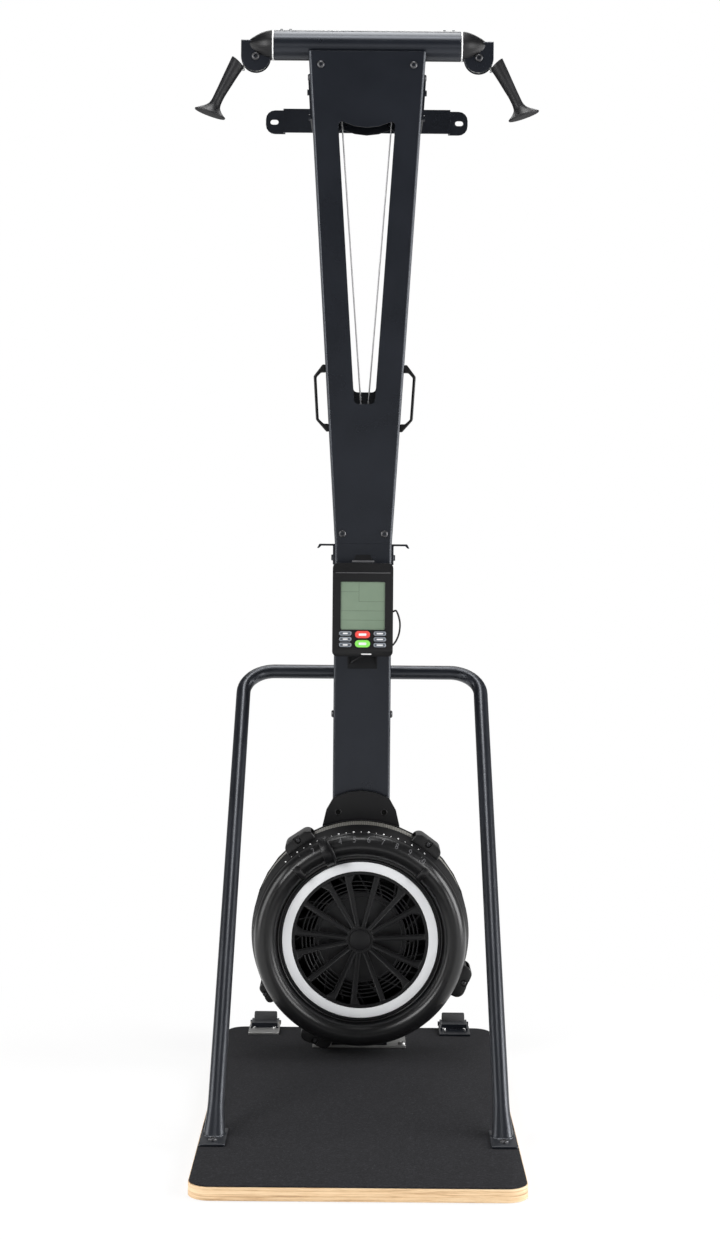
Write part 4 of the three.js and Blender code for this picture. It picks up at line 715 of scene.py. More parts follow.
def deck():
    low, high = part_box("deck_board")
    size = high - low
    for name, base, top, inset, material, slot, node_name in (
        ("plywood_board", low.z, high.z, 0.0, birch, "plywood", "deck_board"),
        ("grip_mat", high.z + 0.0003, DECK_TOP, 0.0015, mat, "grip_mat", "deck_grip_mat"),
    ):
        outline = rounded_outline(size.x - 2 * inset, size.y - 2 * inset, DECK_CORNER - inset, 10)
        piece = panel(name, outline, 0.0, top - base)
        piece.rotation_euler = (math.radians(90), 0.0, 0.0)
        piece.location = (0.0, (low.y + high.y) / 2, base)
        cleaned(settle(piece))
        rounded(piece, 0.0009, 2, 60.0)
        finished(piece, material, "frame", slot, node_name)


def floor_fittings():
    foot_bolt_x, foot_bolts_y = 0.088, (0.3305, 0.4915)
    brace_bolt_y = -0.382
    roller_x, roller_screw_step, roller_screw_y = 0.202, 0.022, 0.474
    carried("foot_plate", zinc, "frame", "zinc", FOLDED_EDGE)
    painted("fan_lower_bracket")
    heads = [((x, y, FOOT_TOP), UP) for x in (-foot_bolt_x, foot_bolt_x) for y in foot_bolts_y]
    screws("foot_plate_screws", heads, *LOW_BOLT, bolt_zinc, "zinc")
    heads = [((x, brace_bolt_y, SMALL_PLATE_TOP), UP) for x in (-BRACE_HALF, BRACE_HALF)]
    screws("brace_foot_screws", heads, *LOW_BOLT, bolt_black, "powder_coat")
    heads = [
        ((x + step, roller_screw_y, SMALL_PLATE_TOP), UP)
        for x in (-roller_x, roller_x)
        for step in (-roller_screw_step, roller_screw_step)
    ]
    screws("roller_plate_screws", heads, 0.0048, 0.003, bolt_zinc, "zinc")


# Rollers: a tread and a hub, with a shallow groove between them

def rollers():
    bore, hub, groove, groove_end, tread = 0.0054, 0.010, 0.0115, 0.018, 0.0195
    groove_depth = 0.0012
    for side, sign in SIDES:
        low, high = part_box(f"wheel_{side}")
        half = (high.x - low.x) / 2
        radius = (high.z - low.z) / 2
        floor = -half + groove_depth
        section = mirrored([
            (bore, -half), (hub, -half), (groove, floor), (groove_end, floor), (tread, -half),
            (radius - 0.002, -half), (radius - 0.0005, -half + 0.0006), (radius, -half + 0.002),
        ])
        piece = turned_across(f"roller_{side}", section, 64, (low + high) / 2)
        finished(piece, tyre, f"wheel_{side}", "black_rubber", f"wheel_{side}")
        bracket = painted(f"wheel_bracket_{side}", CUT_EDGE)
        # The plate under the left bracket is bare zinc; the right bracket's plate is painted black like the
        # rest of it, as painted shade
        bracket.data.materials.append(zinc if sign < 0 else powder)
        for face in bracket.data.polygons:
            if face.center.z < DECK_TOP + ROLLER_PLATE:
                face.material_index = 1


# Column, channel, head tube

def column():
    joint_bolt_x, joint_bolt_z = 0.044, 1.0838
    head_bolt_x = 0.0974
    brace_bolt_y, brace_bolt_z = 0.4535, 0.7015
    side_bolt_z = 2.0494
    for name in ("lower_column", "upper_channel", "rear_plate"):
        painted(name, corner=56.0)
    seat = COLUMN_FRONT - 0.0002
    heads = [((x, seat, joint_bolt_z), FORWARD) for x in (-joint_bolt_x, joint_bolt_x)]
    heads += [((x, seat, INNER_PULLEY_Z), FORWARD) for x in (-head_bolt_x, head_bolt_x)]
    side_bolt_x = COLUMN_HALF + CHANNEL_SLOPE * (side_bolt_z - CHANNEL_LOW)
    for _, sign in SIDES:
        heads.append(((sign * COLUMN_HALF, brace_bolt_y, brace_bolt_z), (sign, 0.0, 0.0)))
        heads.append(((sign * side_bolt_x, HEAD_Y, side_bolt_z), (sign, 0.0, 0.0)))
    screws("column_screws", heads, *BOLT, bolt_black, "powder_coat")
    painted("brace_saddle", 0.0012)
    carried("turning_block", zinc, "frame", "zinc", CUT_EDGE)
    carried("cord_guide", nylon, "frame", "nylon", CUT_EDGE)


def trim_ring(side):
    low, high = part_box(f"trim_ring_{side}")
    outer = (high.z - low.z) / 2
    half = (high.x - low.x) / 2 * 0.62
    section = broken_corners(HEAD_R - 0.002, outer, half, 0.0008)
    middle = ((low.x + high.x) / 2, HEAD_Y, HEAD_Z)
    ring = turned_across(f"white_ring_{side}", section, 96, middle)
    finished(ring, white, "frame", "white_trim", f"trim_ring_{side}")


# Round lower ends of a pulley housing's two cheeks
def housing_cheeks(side, sign):
    radius, cheek_y, thick = 0.0310, 0.01205, 0.0029
    for face, into in ((-cheek_y, 1), (cheek_y, -1)):
        section = [
            (0.0, face), (radius - 0.0010, face), (radius - 0.0003, face + into * 0.0004),
            (radius, face + into * 0.0011), (radius, face + into * thick), (0.0, face + into * thick),
        ]
        if into < 0:
            section.reverse()
        middle = (sign * OUTER_PULLEY_X, HEAD_Y, OUTER_PULLEY_Z)
        cheek = turned(f"housing_cheek_{side}", section, 96, middle)
        finished(cheek, powder, "frame", "powder_coat")
        even_shading(cheek)


def head():
    painted("head_tube", 0.0)
    for side, sign in SIDES:
        trim_ring(side)
        carried(f"head_cap_{side}", moulded, "frame", "black_plastic", CUT_EDGE)
        painted(f"pulley_housing_{side}")
        housing_cheeks(side, sign)
        for name in ("outer_pulley", "inner_pulley", "cord_drum"):
            carried(f"{name}_{side}", nylon, f"{name}_{side}", "nylon", TURNED_EDGE)
    seat = HEAD_Y - 0.0123
    heads = [((x, seat, OUTER_PULLEY_Z), FORWARD) for x in (-OUTER_PULLEY_X, OUTER_PULLEY_X)]
    screws("housing_screws", heads, 0.0085, 0.0044, bolt_black, "powder_coat")


def side_fittings():
    for side, _ in SIDES:
        carried(f"carry_handle_{side}", moulded, "frame", "black_plastic", 0.0022, 3)
        painted(f"handle_hook_{side}", 0.001, segments=3)
    painted("wall_bracket")
    carried("monitor_bracket", bracket_black, "frame", "powder_coat", CUT_EDGE)
    # Folded rib along the foot of the bracket's tab, above the monitor, in a lighter grey than the bracket
    # as a painted highlight on the fold
    rib_z, rib_front = 1.0262, 0.3989
    rib = panel("tab_rib", rounded_outline(0.0465, 0.0042, 0.0008, 4, (0.0, rib_z)), rib_front, 0.0016)
    finished(rounded(rib, 0.0005, 2, 60.0), number_grey_and_painted_highlight, "frame", "powder_coat")


# Brace: bent tube on two foot plates

BRACE_LOW = Vector((0.0, -0.338, SMALL_PLATE_TOP))
BRACE_HIGH = Vector((0.0, 0.5475, 0.784))
BRACE_R = 0.015
BRACE_BEND = 0.065
BRACE_FLARE = 0.32


# Points along the tube from the left foot to the right one, and the tube's width there
def brace_route(up):
    points, widths = [], []
    for _, sign in SIDES:
        leg, wide = [], []
        # The tube widens a little on its way down into the foot plate
        for step in range(9):
            leg.append(Vector((sign * BRACE_HALF, BRACE_LOW.y, BRACE_LOW.z)) + up * (0.012 * step - 0.026))
            wide.append(1.0 + BRACE_FLARE * (math.cos(math.pi * step / 8) + 1) / 2)
        for step in range(13):
            turn = math.pi / 2 * step / 12
            along = BRACE_HIGH + up * BRACE_BEND * (math.sin(turn) - 1)
            across = BRACE_HALF - BRACE_BEND * (1 - math.cos(turn))
            leg.append(Vector((sign * across, along.y, along.z)))
            wide.append(1.0)
        points += leg if sign < 0 else leg[::-1]
        widths += wide if sign < 0 else wide[::-1]
    return points, widths


def brace_tube():
    sides = 28
    up = (BRACE_HIGH - BRACE_LOW).normalized()
    points, widths = brace_route(up)
    across = Vector((1.0, 0.0, 0.0)).cross(up).normalized()
    rings = []
    for count, (point, width) in enumerate(zip(points, widths)):
        before = points[max(count - 1, 0)]
        after = points[min(count + 1, len(points) - 1)]
        side = (after - before).normalized().cross(across).normalized() * width
        ring = []
        for step in range(sides):
            angle = math.tau * step / sides
            ring.append(point + BRACE_R * (math.cos(angle) * side + math.sin(angle) * across))
        rings.append(ring)
    tube = wrapped("brace_tube", rings)
    return carved(tube, block("below_the_plates", (0.0, -0.36, -0.0209), (0.7, 0.3, 0.1)))


# Foot plate, and the weld bead where the tube meets it
def brace_foot(sign):
    wide, long, thick = 0.046, 0.105, 0.004
    plate = panel("brace_foot", rounded_outline(wide, long, 0.004, 4), 0.0, thick)
    plate.rotation_euler = (math.radians(90), 0.0, 0.0)
    plate.location = (sign * BRACE_HALF, -0.3555, SMALL_PLATE_TOP - thick)
    rounded(settle(plate), 0.0008, 2, 60.0)
    start()
    bpy.ops.mesh.primitive_torus_add(
        major_segments=48,
        minor_segments=10,
        major_radius=1.0,
        minor_radius=0.10,
        location=(sign * BRACE_HALF, BRACE_LOW.y, SMALL_PLATE_TOP + 0.0001),
    )
    weld = take("brace_weld")
    weld.scale = (0.0196, 0.0238, 0.016)
    return [plate, settle(weld)]


def brace():
    piece = joined("bent_brace", [brace_tube()] + brace_foot(-1) + brace_foot(1))
    finished(piece, tube_paint, "frame", "powder_coat", "brace")


# Fan unit: sizes that its pieces share

BULGE_INNER = 0.168
BULGE_OUTER = 0.2145
BULGE_MIDDLE = (BULGE_INNER + BULGE_OUTER) / 2
BULGE_HALF = (BULGE_OUTER - BULGE_INNER) / 2
BULGE_RISE = 0.030
STEP_Y = 0.236
LIP_Y = 0.2382
LIP_R = 0.140
SKIN = 0.003
SKIRT_FRONT_R = 0.2155
SKIRT_R = 0.223
SKIRT_BACK = 0.3035
BAND_BACK = 0.3677
LUG_Y = 0.270
LUG_DEPTH = 0.068
LUG_LENGTH = 0.066
LUG_RISE = 0.018
STOP_ANGLES = (47.7, 131.6)
DAMPER_ANGLE = 111.0
SCALE_PITCH = 8.1
FIRST_DOT_ANGLE = 134.4
FIRST_NUMBER_ANGLE = 126.0
NUMBERS = 10
NECK_Y = 0.3872
AXLE = (0.0, 0.0, FAN_Z)

# Lugs: bearing in degrees, then shares of the full rise and of the full length
LUGS = ((123.5, 1.0, 1.0), (53.7, 1.0, 1.0), (-24.0, 1.0, 1.0), (-113.0, 1.0, 1.0), (-148.0, 0.5, 0.65))


def fan_point(angle, radius, along):
    turn = math.radians(angle)
    return (radius * math.cos(turn), along, FAN_Z + radius * math.sin(turn))


def round_fan(piece, angle):
    turn = Matrix.Rotation(math.radians(-angle), 4, "Y")
    hub = Matrix.Translation(AXLE)
    piece.data.transform(hub @ turn @ hub.inverted())
    return piece


# Point (radius, along) of the shroud's bulged section at a turn, grown outwards by a margin
def bulge_point(turn, grow):
    out = BULGE_MIDDLE - (BULGE_HALF + grow) * math.cos(turn)
    return out, STEP_Y - (BULGE_RISE + grow) * math.sin(turn)


def bulge(grow, first, last, steps):
    turns = (math.radians(first + (last - first) * step / steps) for step in range(steps + 1))
    return [bulge_point(turn, grow) for turn in turns]


def away_from_bulge(turn):
    return Vector((-math.cos(turn) * BULGE_RISE, -math.sin(turn) * BULGE_HALF, 0.0)).normalized()


# How far forward the bulge stands at a radius
def bulge_face(radius):
    share = max(-1.0, min(1.0, (radius - BULGE_MIDDLE) / BULGE_HALF))
    return STEP_Y - BULGE_RISE * math.sqrt(1 - share * share)


# Lies over the bulge along +X: a flat-topped bar with broken edges, from one turn of the bulge to another
def bulge_bar(name, first, last, half, thick, sink=0.0030, steps=28):
    section = broken_corners(-sink, thick, half, min(0.0016, thick / 2))
    rings = []
    for step in range(steps + 1):
        turn = math.radians(first + (last - first) * step / steps)
        away = away_from_bulge(turn)
        base = Vector((*bulge_point(turn, 0.0014), FAN_Z))
        rings.append([base + away * rise + Vector((0.0, 0.0, across)) for rise, across in section])
    return wrapped(name, rings)


# One moulded lug, drawn along +X from the hub: a hollow bumper with a pocket for its screw
def lug_model(rise, length):
    root, widest_corner, relief_depth, mouth_height = 0.0065, 0.016, 0.060, 0.018
    inner, outer, half = SKIRT_R - root, SKIRT_R + rise, length / 2
    corner = min(widest_corner, outer - BAND_R - 0.0004)
    outline = [(inner, FAN_Z - half)]
    for side, first in ((-1, -90), (1, 0)):
        for step in range(9):
            turn = math.radians(first + 90 * step / 8)
            x = outer - corner + corner * math.cos(turn)
            outline.append((x, FAN_Z + side * (half - corner) + corner * math.sin(turn)))
    outline.append((inner, FAN_Z + half))
    body = rounded(panel("lug", outline, LUG_Y, LUG_DEPTH), 0.0022, 4, 40.0)
    relief_y = SKIRT_BACK + 0.0003 + relief_depth / 2
    carved(body, rod("band_relief", BAND_R + 0.0005, relief_depth, (0.0, relief_y, FAN_Z), 160))
    pocket_x = SKIRT_R + rise / 2 + 0.0138
    pocket = rounded_outline(0.040, 0.0135, 0.0062, 8, (pocket_x, FAN_Z))
    carved(body, panel("lug_pocket", pocket, LUG_Y - 0.004, 0.012))
    # Open ends
    mouth_x, mouth_y = BAND_R + rise * 0.36, LUG_Y + LUG_DEPTH * 0.5
    for sign in (-1, 1):
        place = (mouth_x, mouth_y, FAN_Z + sign * half)
        carved(body, block("lug_mouth", place, (rise * 0.5, LUG_DEPTH * 0.78, mouth_height)))
    return body


# Skin of the shroud: lip, bead, bulge and skirt, then back along the inside
def shroud_skin():
    edge = 0.0014
    bead_x, bead_y, bead_r = 0.1658, 0.2312, 0.0020
    slope = (SKIRT_R - SKIRT_FRONT_R) / (SKIRT_BACK - STEP_Y)
    section = [(LIP_R, LIP_Y), (0.1638, LIP_Y)]
    # Half-round bead at the foot of the bulge
    for step in range(9):
        turn = math.radians(180 - 180 * step / 8)
        section.append((bead_x + bead_r * math.cos(turn), bead_y - bead_r * math.sin(turn)))
    section += bulge(0.0, 12, 168, 40)
    section += [(BULGE_OUTER + 0.0002, STEP_Y - 0.0014), (SKIRT_FRONT_R + 0.0003, STEP_Y + 0.0004)]
    section += [(SKIRT_FRONT_R + edge * slope, STEP_Y + edge), (SKIRT_R, SKIRT_BACK)]
    section += [(SKIRT_R - SKIN, SKIRT_BACK), (SKIRT_FRONT_R - SKIN, STEP_Y + SKIN)]
    section += bulge(-SKIN, 172, 8, 24)
    section += [(BULGE_INNER + SKIN, LIP_Y + SKIN), (LIP_R, LIP_Y + SKIN)]
    skin = turned("shroud_skin", section, 192, AXLE)
    # The skirt behind the bulge gets a rougher, duller copy of the plastic whose darker colour is painted
    # shade
    skin.data.materials.append(gloss)
    skin.data.materials.append(matt_skirt_with_painted_shade)
    for face in skin.data.polygons:
        radius = math.hypot(face.center.x, face.center.z - FAN_Z)
        if face.center.y > STEP_Y + 0.001 and radius > SKIRT_FRONT_R - 0.001:
            face.material_index = 1
    return skin


# A closed section of (radius, along) points swept over part of a turn round the fan's axle
def arc_band(name, section, first, last, steps):
    rings = []
    for step in range(steps + 1):
        angle = first + (last - first) * step / steps
        rings.append([Vector(fan_point(angle, radius, along)) for radius, along in section])
    return wrapped(name, rings)


def front_shroud():
    pieces = [shroud_skin()]
    for angle, rise, length in LUGS:
        pieces.append(round_fan(lug_model(LUG_RISE * rise, LUG_LENGTH * length), angle))
    # Raised rail over the damper's travel, with a stop across the bulge at each end
    rail = [
        (0.1645, LIP_Y + 0.0006), (0.1645, 0.2290), (0.1655, 0.2278), (0.1688, 0.2278),
        (0.1700, 0.2290), (0.1700, LIP_Y + 0.0006),
    ]
    pieces.append(arc_band("stop_rail", rail, *STOP_ANGLES, 72))
    for angle in STOP_ANGLES:
        pieces.append(round_fan(bulge_bar("damper_stop", 46, 106, 0.0064, 0.0062, steps=20), angle))
    for piece in pieces[1:]:
        piece.data.materials.clear()
        piece.data.materials.append(gloss)
    finished(joined("shroud_with_lugs", pieces), None, "frame", "black_plastic", "front_shroud")


def lug_screws():
    heads = [
        (fan_point(angle, SKIRT_R + LUG_RISE * rise / 2, LUG_Y + 0.008), FORWARD)
        for angle, rise, _ in LUGS
    ]
    screws("lug_screws", heads, 0.0050, 0.0040, bolt_black, "black_plastic")


def silver_band():
    inner, outer, edge = 0.1385, 0.1573, 0.0007
    front, back, nick = FAN_FACE, FAN_FACE + 0.004, edge * 0.3
    section = [
        (inner, back), (inner, front + edge), (inner + nick, front + nick), (inner + edge, front),
        (outer - edge, front), (outer - nick, front + nick), (outer, front + edge), (outer, back),
    ]
    finished(turned("silver_band", section, 192, AXLE), silver, "frame", "silver", "silver_ring")


# A spoke from the hub to the rim, drawn along +X, with a web beside its outer end where asked
def spoke(web_below, web_above):
    inner, outer, web, web_length = 0.026, 0.1325, 0.010, 0.016
    near, far, front_y, depth = 0.0045, 0.006, 0.2301, 0.0078
    outline = [(inner, FAN_Z - near)]
    if web_below:
        outline += [(outer - web_length, FAN_Z - far), (outer, FAN_Z - far - web)]
    else:
        outline.append((outer, FAN_Z - far))
    if web_above:
        outline += [(outer, FAN_Z + far + web), (outer - web_length, FAN_Z + far)]
    else:
        outline.append((outer, FAN_Z + far))
    outline.append((inner, FAN_Z + near))
    body = panel("spoke", outline, front_y, depth)
    activate(body)
    edit("DESELECT")
    leave_edit()
    front = min(body.data.polygons, key=lambda face: face.center.y)
    front.select = True
    bpy.ops.object.mode_set(mode="EDIT")
    bpy.ops.mesh.select_mode(type="FACE")
    bpy.ops.mesh.inset(thickness=0.0016, depth=0.0)
    bpy.ops.mesh.inset(thickness=0.0007, depth=-0.0012)
    leave_edit()
    return rounded(body, 0.0005, 2, 50.0)


# Five arms, each a single spoke and, half a pitch on, a pair set close together
def grille_spokes():
    arms, first_arm, fork = 5, 75.0, 9.2
    pitch = 360.0 / arms
    models = {"single": spoke(False, False), "first": spoke(True, False), "second": spoke(False, True)}
    pieces = []
    for arm in range(arms):
        single = first_arm + pitch * arm
        middle = single + pitch / 2
        for kind, angle in (("single", single), ("first", middle - fork), ("second", middle + fork)):
            pieces.append(round_fan(copied(models[kind], "grille_spoke"), angle))
    for model in models.values():
        removed(model)
    return pieces


def guard_rings():
    smallest, pitch, wire, wire_y = 0.0855, 0.008, 0.0016, 0.2364
    pieces = []
    for count in range(5):
        radius = smallest + pitch * count
        ring = []
        for step in range(8):
            turn = math.tau * (step + 0.5) / 8
            ring.append((radius + wire * math.cos(turn), wire_y + wire * math.sin(turn)))
        pieces.append(turned("guard_ring", ring, 144, AXLE))
    return pieces


# Hub with a raised cap and a ring of short ribs round it
def grille_hub():
    back, ribs = 0.2379, 20
    hub = [
        (0.0, back), (0.0, 0.2270), (0.0185, 0.2270), (0.0204, 0.2276), (0.0211, 0.2292),
        (0.0211, 0.2306), (0.0225, 0.2306), (0.0229, 0.2300), (0.0262, 0.2300), (0.0272, 0.2310),
        (0.0272, back),
    ]
    pieces = [turned("grille_hub", hub, 96, AXLE)]
    rib = panel("hub_rib", rounded_outline(0.0030, 0.0052, 0.0008, 3, (0.0247, FAN_Z)), 0.2293, 0.0012)
    for count in range(ribs):
        pieces.append(round_fan(copied(rib, "hub_rib_copy"), 360.0 / ribs * (count + 0.5)))
    removed(rib)
    return pieces


def grille():
    back = 0.2379
    rim = [
        (0.132, back), (0.132, 0.2308), (0.1326, 0.2300), (0.1372, 0.2300), (0.1381, 0.2309),
        (0.1381, 0.2338), (0.1573, 0.2338), (0.1573, back),
    ]
    pieces = grille_spokes() + [turned("grille_rim", rim, 160, AXLE)] + guard_rings() + grille_hub()
    finished(joined("grille_with_hub", pieces), moulded, "frame", "black_plastic", "grille")


# Leaf-shaped finger grip that stands on the lever's edge and leans out over the bulge
def damper_leaf():
    rows, thick, lowest, swell, most_lean = 28, 0.0013, 0.0040, 0.0120, 0.45
    first, last = 14, 150
    below = Vector((0.0, 0.0, -1.0))
    rings = []
    for row in range(rows + 1):
        share = row / rows
        turn = math.radians(first + (last - first) * share)
        height = lowest + swell * math.sin(math.pi * share) ** 0.8
        lean = most_lean * math.sin(math.pi * share)
        away = away_from_bulge(turn)
        base = Vector((*bulge_point(turn, 0.0030), FAN_Z - 0.0076))
        rise = (away * math.cos(lean) + below * math.sin(lean)) * height
        side = (away * math.sin(lean) - below * math.cos(lean)) * thick
        top = base + rise
        rings.append([
            base - side,
            top - side,
            top - side * 0.5 + rise * 0.05,
            top + side * 0.5 + rise * 0.05,
            top + side,
            base + side,
        ])
    return wrapped("damper_leaf", rings)


# Damper ring with the lever that lies over the bulge
def damper():
    inner, outer, front, back, edge = 0.1588, 0.1628, 0.2305, 0.2370, 0.0007
    ring = [
        (inner, back), (inner, front + edge), (inner + edge, front), (outer - edge, front),
        (outer, front + edge), (outer, back),
    ]
    pieces = [turned("damper_ring", ring, 160, AXLE)]
    reach = rounded_outline(0.0100, 0.0184, 0.0012, 4, (0.1640, FAN_Z))
    lever = [
        rounded(panel("lever_reach", reach, 0.2262, 0.0060), 0.0010, 3, 60.0),
        bulge_bar("damper_lever_bar", 2, 170, 0.0092, 0.0064, sink=0.0),
        damper_leaf(),
    ]
    pieces += [round_fan(piece, DAMPER_ANGLE) for piece in lever]
    piece = joined("damper_ring_and_lever", pieces)
    finished(piece, moulded, "damper", "black_plastic", "damper_lever")


# White pips on the skirt's front edge, a large one beside each number and a small one between
def scale_dots():
    pieces = []
    between = FIRST_DOT_ANGLE - SCALE_PITCH / 2
    for size, first, count in ((0.0019, FIRST_DOT_ANGLE, NUMBERS + 1), (0.0010, between, NUMBERS)):
        for step in range(count):
            place = fan_point(first - SCALE_PITCH * step, SKIRT_FRONT_R + 0.0008, STEP_Y + 0.0050)
            start()
            bpy.ops.mesh.primitive_uv_sphere_add(segments=16, ring_count=8, radius=size, location=place)
            pieces.append(settle(take("scale_dot")))
    finished(joined("scale_dots", pieces), mark_white, "frame", "white_trim")


# Numbers that stand a little proud of the bulge
def scale_numbers():
    digit_height, digit_radius, digit_depth = 0.0150, 0.2050, 0.0009
    pieces = []
    for count in range(NUMBERS):
        middle = FIRST_NUMBER_ANGLE - SCALE_PITCH * count
        start()
        bpy.ops.object.text_add()
        words = bpy.context.object
        words.data.body = str(count + 1)
        words.data.size = digit_height
        words.data.align_x = "CENTER"
        words.data.align_y = "CENTER"
        words.data.extrude = digit_depth
        words.data.resolution_u = 4
        bpy.ops.object.convert(target="MESH")
        digit = take("scale_number")
        for point in digit.data.vertices:
            across, up, proud = point.co
            radius = digit_radius + up
            angle = middle - math.degrees(across / radius)
            point.co = fan_point(angle, radius, bulge_face(radius) - 0.0007 - proud * 0.6)
        pieces.append(digit)
    finished(joined("scale_numbers", pieces), number_grey_and_painted_highlight, "frame", "black_plastic")


def perforated_band():
    outer, inner, front = BAND_R, BAND_R - 0.0025, SKIRT_BACK + 0.0003
    section = [(inner, front), (outer, front), (outer, BAND_BACK), (inner, BAND_BACK)]
    piece = turned("perforated_band", section, 192, AXLE)
    finished(piece, mesh_sheet, "frame", "grey_mesh", "mesh_band")


# Eyelet round each of the two holes in the neck of the rear housing, and a near-black disc inside each hole
# as painted shade
def neck_holes():
    hole_x, hole_rise = 0.048, 0.237
    rim = [
        (0.0050, 0.0012), (0.0050, -0.0004), (0.0056, -0.0010), (0.0064, -0.0010),
        (0.0070, -0.0004), (0.0070, 0.0012),
    ]
    # Near-black disc set inside each hole as painted shade
    shade_disc = [(0.0, 0.0011), (0.0, 0.0001), (0.0050, 0.0001), (0.0050, 0.0011)]
    places = [(x, NECK_Y, FAN_Z + hole_rise) for x in (-hole_x, hole_x)]
    for name, section, material in (("neck_eyelet", rim, moulded), ("neck_hole_shade", shade_disc, painted_hole_shade)):
        pieces = [turned(name, section, 40, place) for place in places]
        finished(joined(name + "s", pieces), material, "frame", "black_plastic")


def fan_inside():
    carried("fan_rear_housing", moulded, "frame", "black_plastic", 0.0010)
    neck_holes()
    carried("flywheel", blade, "flywheel", "zinc", 0.0)
    carried("fan_axle", steel, "frame", "steel", CUT_EDGE)


# Monitor: shells, screen, keys and its lead

MONITOR_Y = 0.3055
MONITOR_Z = 0.928


def monitor_shells():
    carried("monitor_front", moulded, "monitor", "black_plastic", MOULDED_EDGE, 4)
    carried("monitor_back", moulded, "monitor", "black_plastic", MOULDED_EDGE, 3)
    # Thin bead along the crease under the top bevel: its rounding catches light, and its lighter grey is a
    # painted highlight
    crease = rounded_outline(0.1130, 0.0014, 0.0006, 4, (0.0, MONITOR_Z + 0.0762))
    bead = panel("crease_bead", crease, MONITOR_Y - 0.0005, 0.0012)
    finished(rounded(bead, 0.0004, 2, 60.0), number_grey_and_painted_highlight, "monitor", "black_plastic")


# Glass with the thin lines that part its fields
def screen():
    low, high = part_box("monitor_lens")
    size = high - low
    middle = (0.0, (low.z + high.z) / 2)
    glass = panel("screen_glass", rounded_outline(size.x, size.z, 0.0025, 6, middle), low.y, size.y)
    finished(glass, display, "monitor", "lens", "monitor_lens")
    wide, thin, fold, top = 0.0895, 0.00045, -0.0080, MONITOR_Z + 0.0565
    first, second, third, fourth = (MONITOR_Z + rise for rise in (0.0371, 0.0170, -0.0020, -0.0211))
    bars = [
        ((fold, (top + second) / 2), (thin, top - second)),
        (((fold - wide / 2) / 2, first), (wide / 2 + fold, thin)),
        (((fold + wide / 2) / 2, second), (wide / 2 - fold, thin)),
        ((0.0, third), (wide, thin)),
        ((0.0, fourth), (wide, thin)),
    ]
    pieces = []
    for place, (across, up) in bars:
        outline = rounded_outline(across, up, thin / 3, 2, place)
        pieces.append(panel("screen_line", outline, low.y - 0.00012, 0.0003))
    finished(joined("screen_lines", pieces), segment, "monitor", "lens")


# Rounded caps, a darker dish in each grey one, and a plain bar on every cap
def keys():
    front = MONITOR_Y - 0.0015
    places = [("stop", 0.0, -0.0506, 0.031, 0.015, red), ("start", 0.0, -0.0695, 0.031, 0.015, green)]
    for side, sign in SIDES:
        for row, place in enumerate(("top", "middle", "bottom")):
            places.append((f"{side}_{place}", sign * 0.0355, -0.0484 - 0.0118 * row, 0.0255, 0.009, slate))
    slots = {"stop": "red_key", "start": "green_key"}
    for name, x, rise, wide, tall, material in places:
        body = f"key_{name}"
        slot = slots.get(name, "grey_key")
        centre = (x, MONITOR_Z + rise)
        cap = panel(f"{name}_cap", rounded_outline(wide, tall, tall / 2 - 0.0003, 10, centre), front, 0.006)
        finished(rounded(cap, 0.0011, 4, 60.0), material, body, slot, f"key_{name}")
        if name not in slots:
            dish_wide, dish_tall = wide - 0.0042, tall - 0.0038
            dish = rounded_outline(dish_wide, dish_tall, dish_tall / 2 - 0.0001, 8, centre)
            finished(panel(f"{name}_dish", dish, front - 0.00015, 0.0008), slate_dark, body, slot)
        mark_wide = wide * (0.52 if x >= 0 else 0.40)
        mark_tall = tall * (0.34 if name in slots else 0.30)
        mark = rounded_outline(mark_wide, mark_tall, mark_tall * 0.4, 6, centre)
        finished(panel(f"{name}_mark", mark, front - 0.0004, 0.0008), mark_white, body, slot)


# Bare white tag on the slanted lower lip
def lip_tag():
    tag = panel("lip_tag", rounded_outline(0.0210, 0.0046, 0.0012, 5), -0.0003, 0.0008)
    tag.rotation_euler = (math.radians(-24.2), 0.0, 0.0)
    tag.location = (0.0078, MONITOR_Y + 0.0034, MONITOR_Z - 0.0902)
    finished(settle(tag), mark_white, "monitor", "white_trim")


def smooth_route(stations, steps):
    stations = [Vector(station) for station in stations]
    last = len(stations) - 1
    points = []
    for place in range(last):
        before, after = stations[max(place - 1, 0)], stations[min(place + 2, last)]
        for step in range(steps):
            points.append(through(before, stations[place], stations[place + 1], after, step / steps))
    points.append(stations[last])
    return points


# A round cord along a route, its rings kept square to it
def cord(name, points, radius, around=16):
    rings = []
    side = None
    for count, point in enumerate(points):
        along = (points[min(count + 1, len(points) - 1)] - points[max(count - 1, 0)]).normalized()
        if side is None:
            side = along.orthogonal().normalized()
        side = (side - along * side.dot(along)).normalized()
        other = along.cross(side)
        ring = []
        for step in range(around):
            turn = math.tau * step / around
            ring.append(point + radius * (math.cos(turn) * side + math.sin(turn) * other))
        rings.append(ring)
    return wrapped(name, rings)


def monitor_lead():
    stations = [
        (0.0627, 0.3290, 0.924), (0.0700, 0.3290, 0.9246), (0.0772, 0.3400, 0.900),
        (0.0740, 0.3560, 0.872), (0.0600, 0.3700, 0.8500), (0.0300, 0.3780, 0.8360),
        (0.0030, 0.3850, 0.8290), (-0.0180, 0.3930, 0.8180), (-0.0230, 0.3998, 0.8130),
    ]
    lead = cord("screen_lead", smooth_route(stations, 8), 0.0019)
    lead.data.materials.append(rubber)
    activate(lead)
    bpy.ops.object.shade_smooth_by_angle(angle=math.radians(60))
    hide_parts("monitor_lead")
    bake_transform(lead)


# Pull handles: grips that flare into a wide foot, each on a steel ferrule

GRIP_X = 0.273
GRIP_TOP = 2.0825
GRIP_LEAN = 0.059
GRIP_DROP = 0.110
GRIP_FLARE = 0.0676
GRIP_SIDES = 48
FOOT_TILT = 19.0

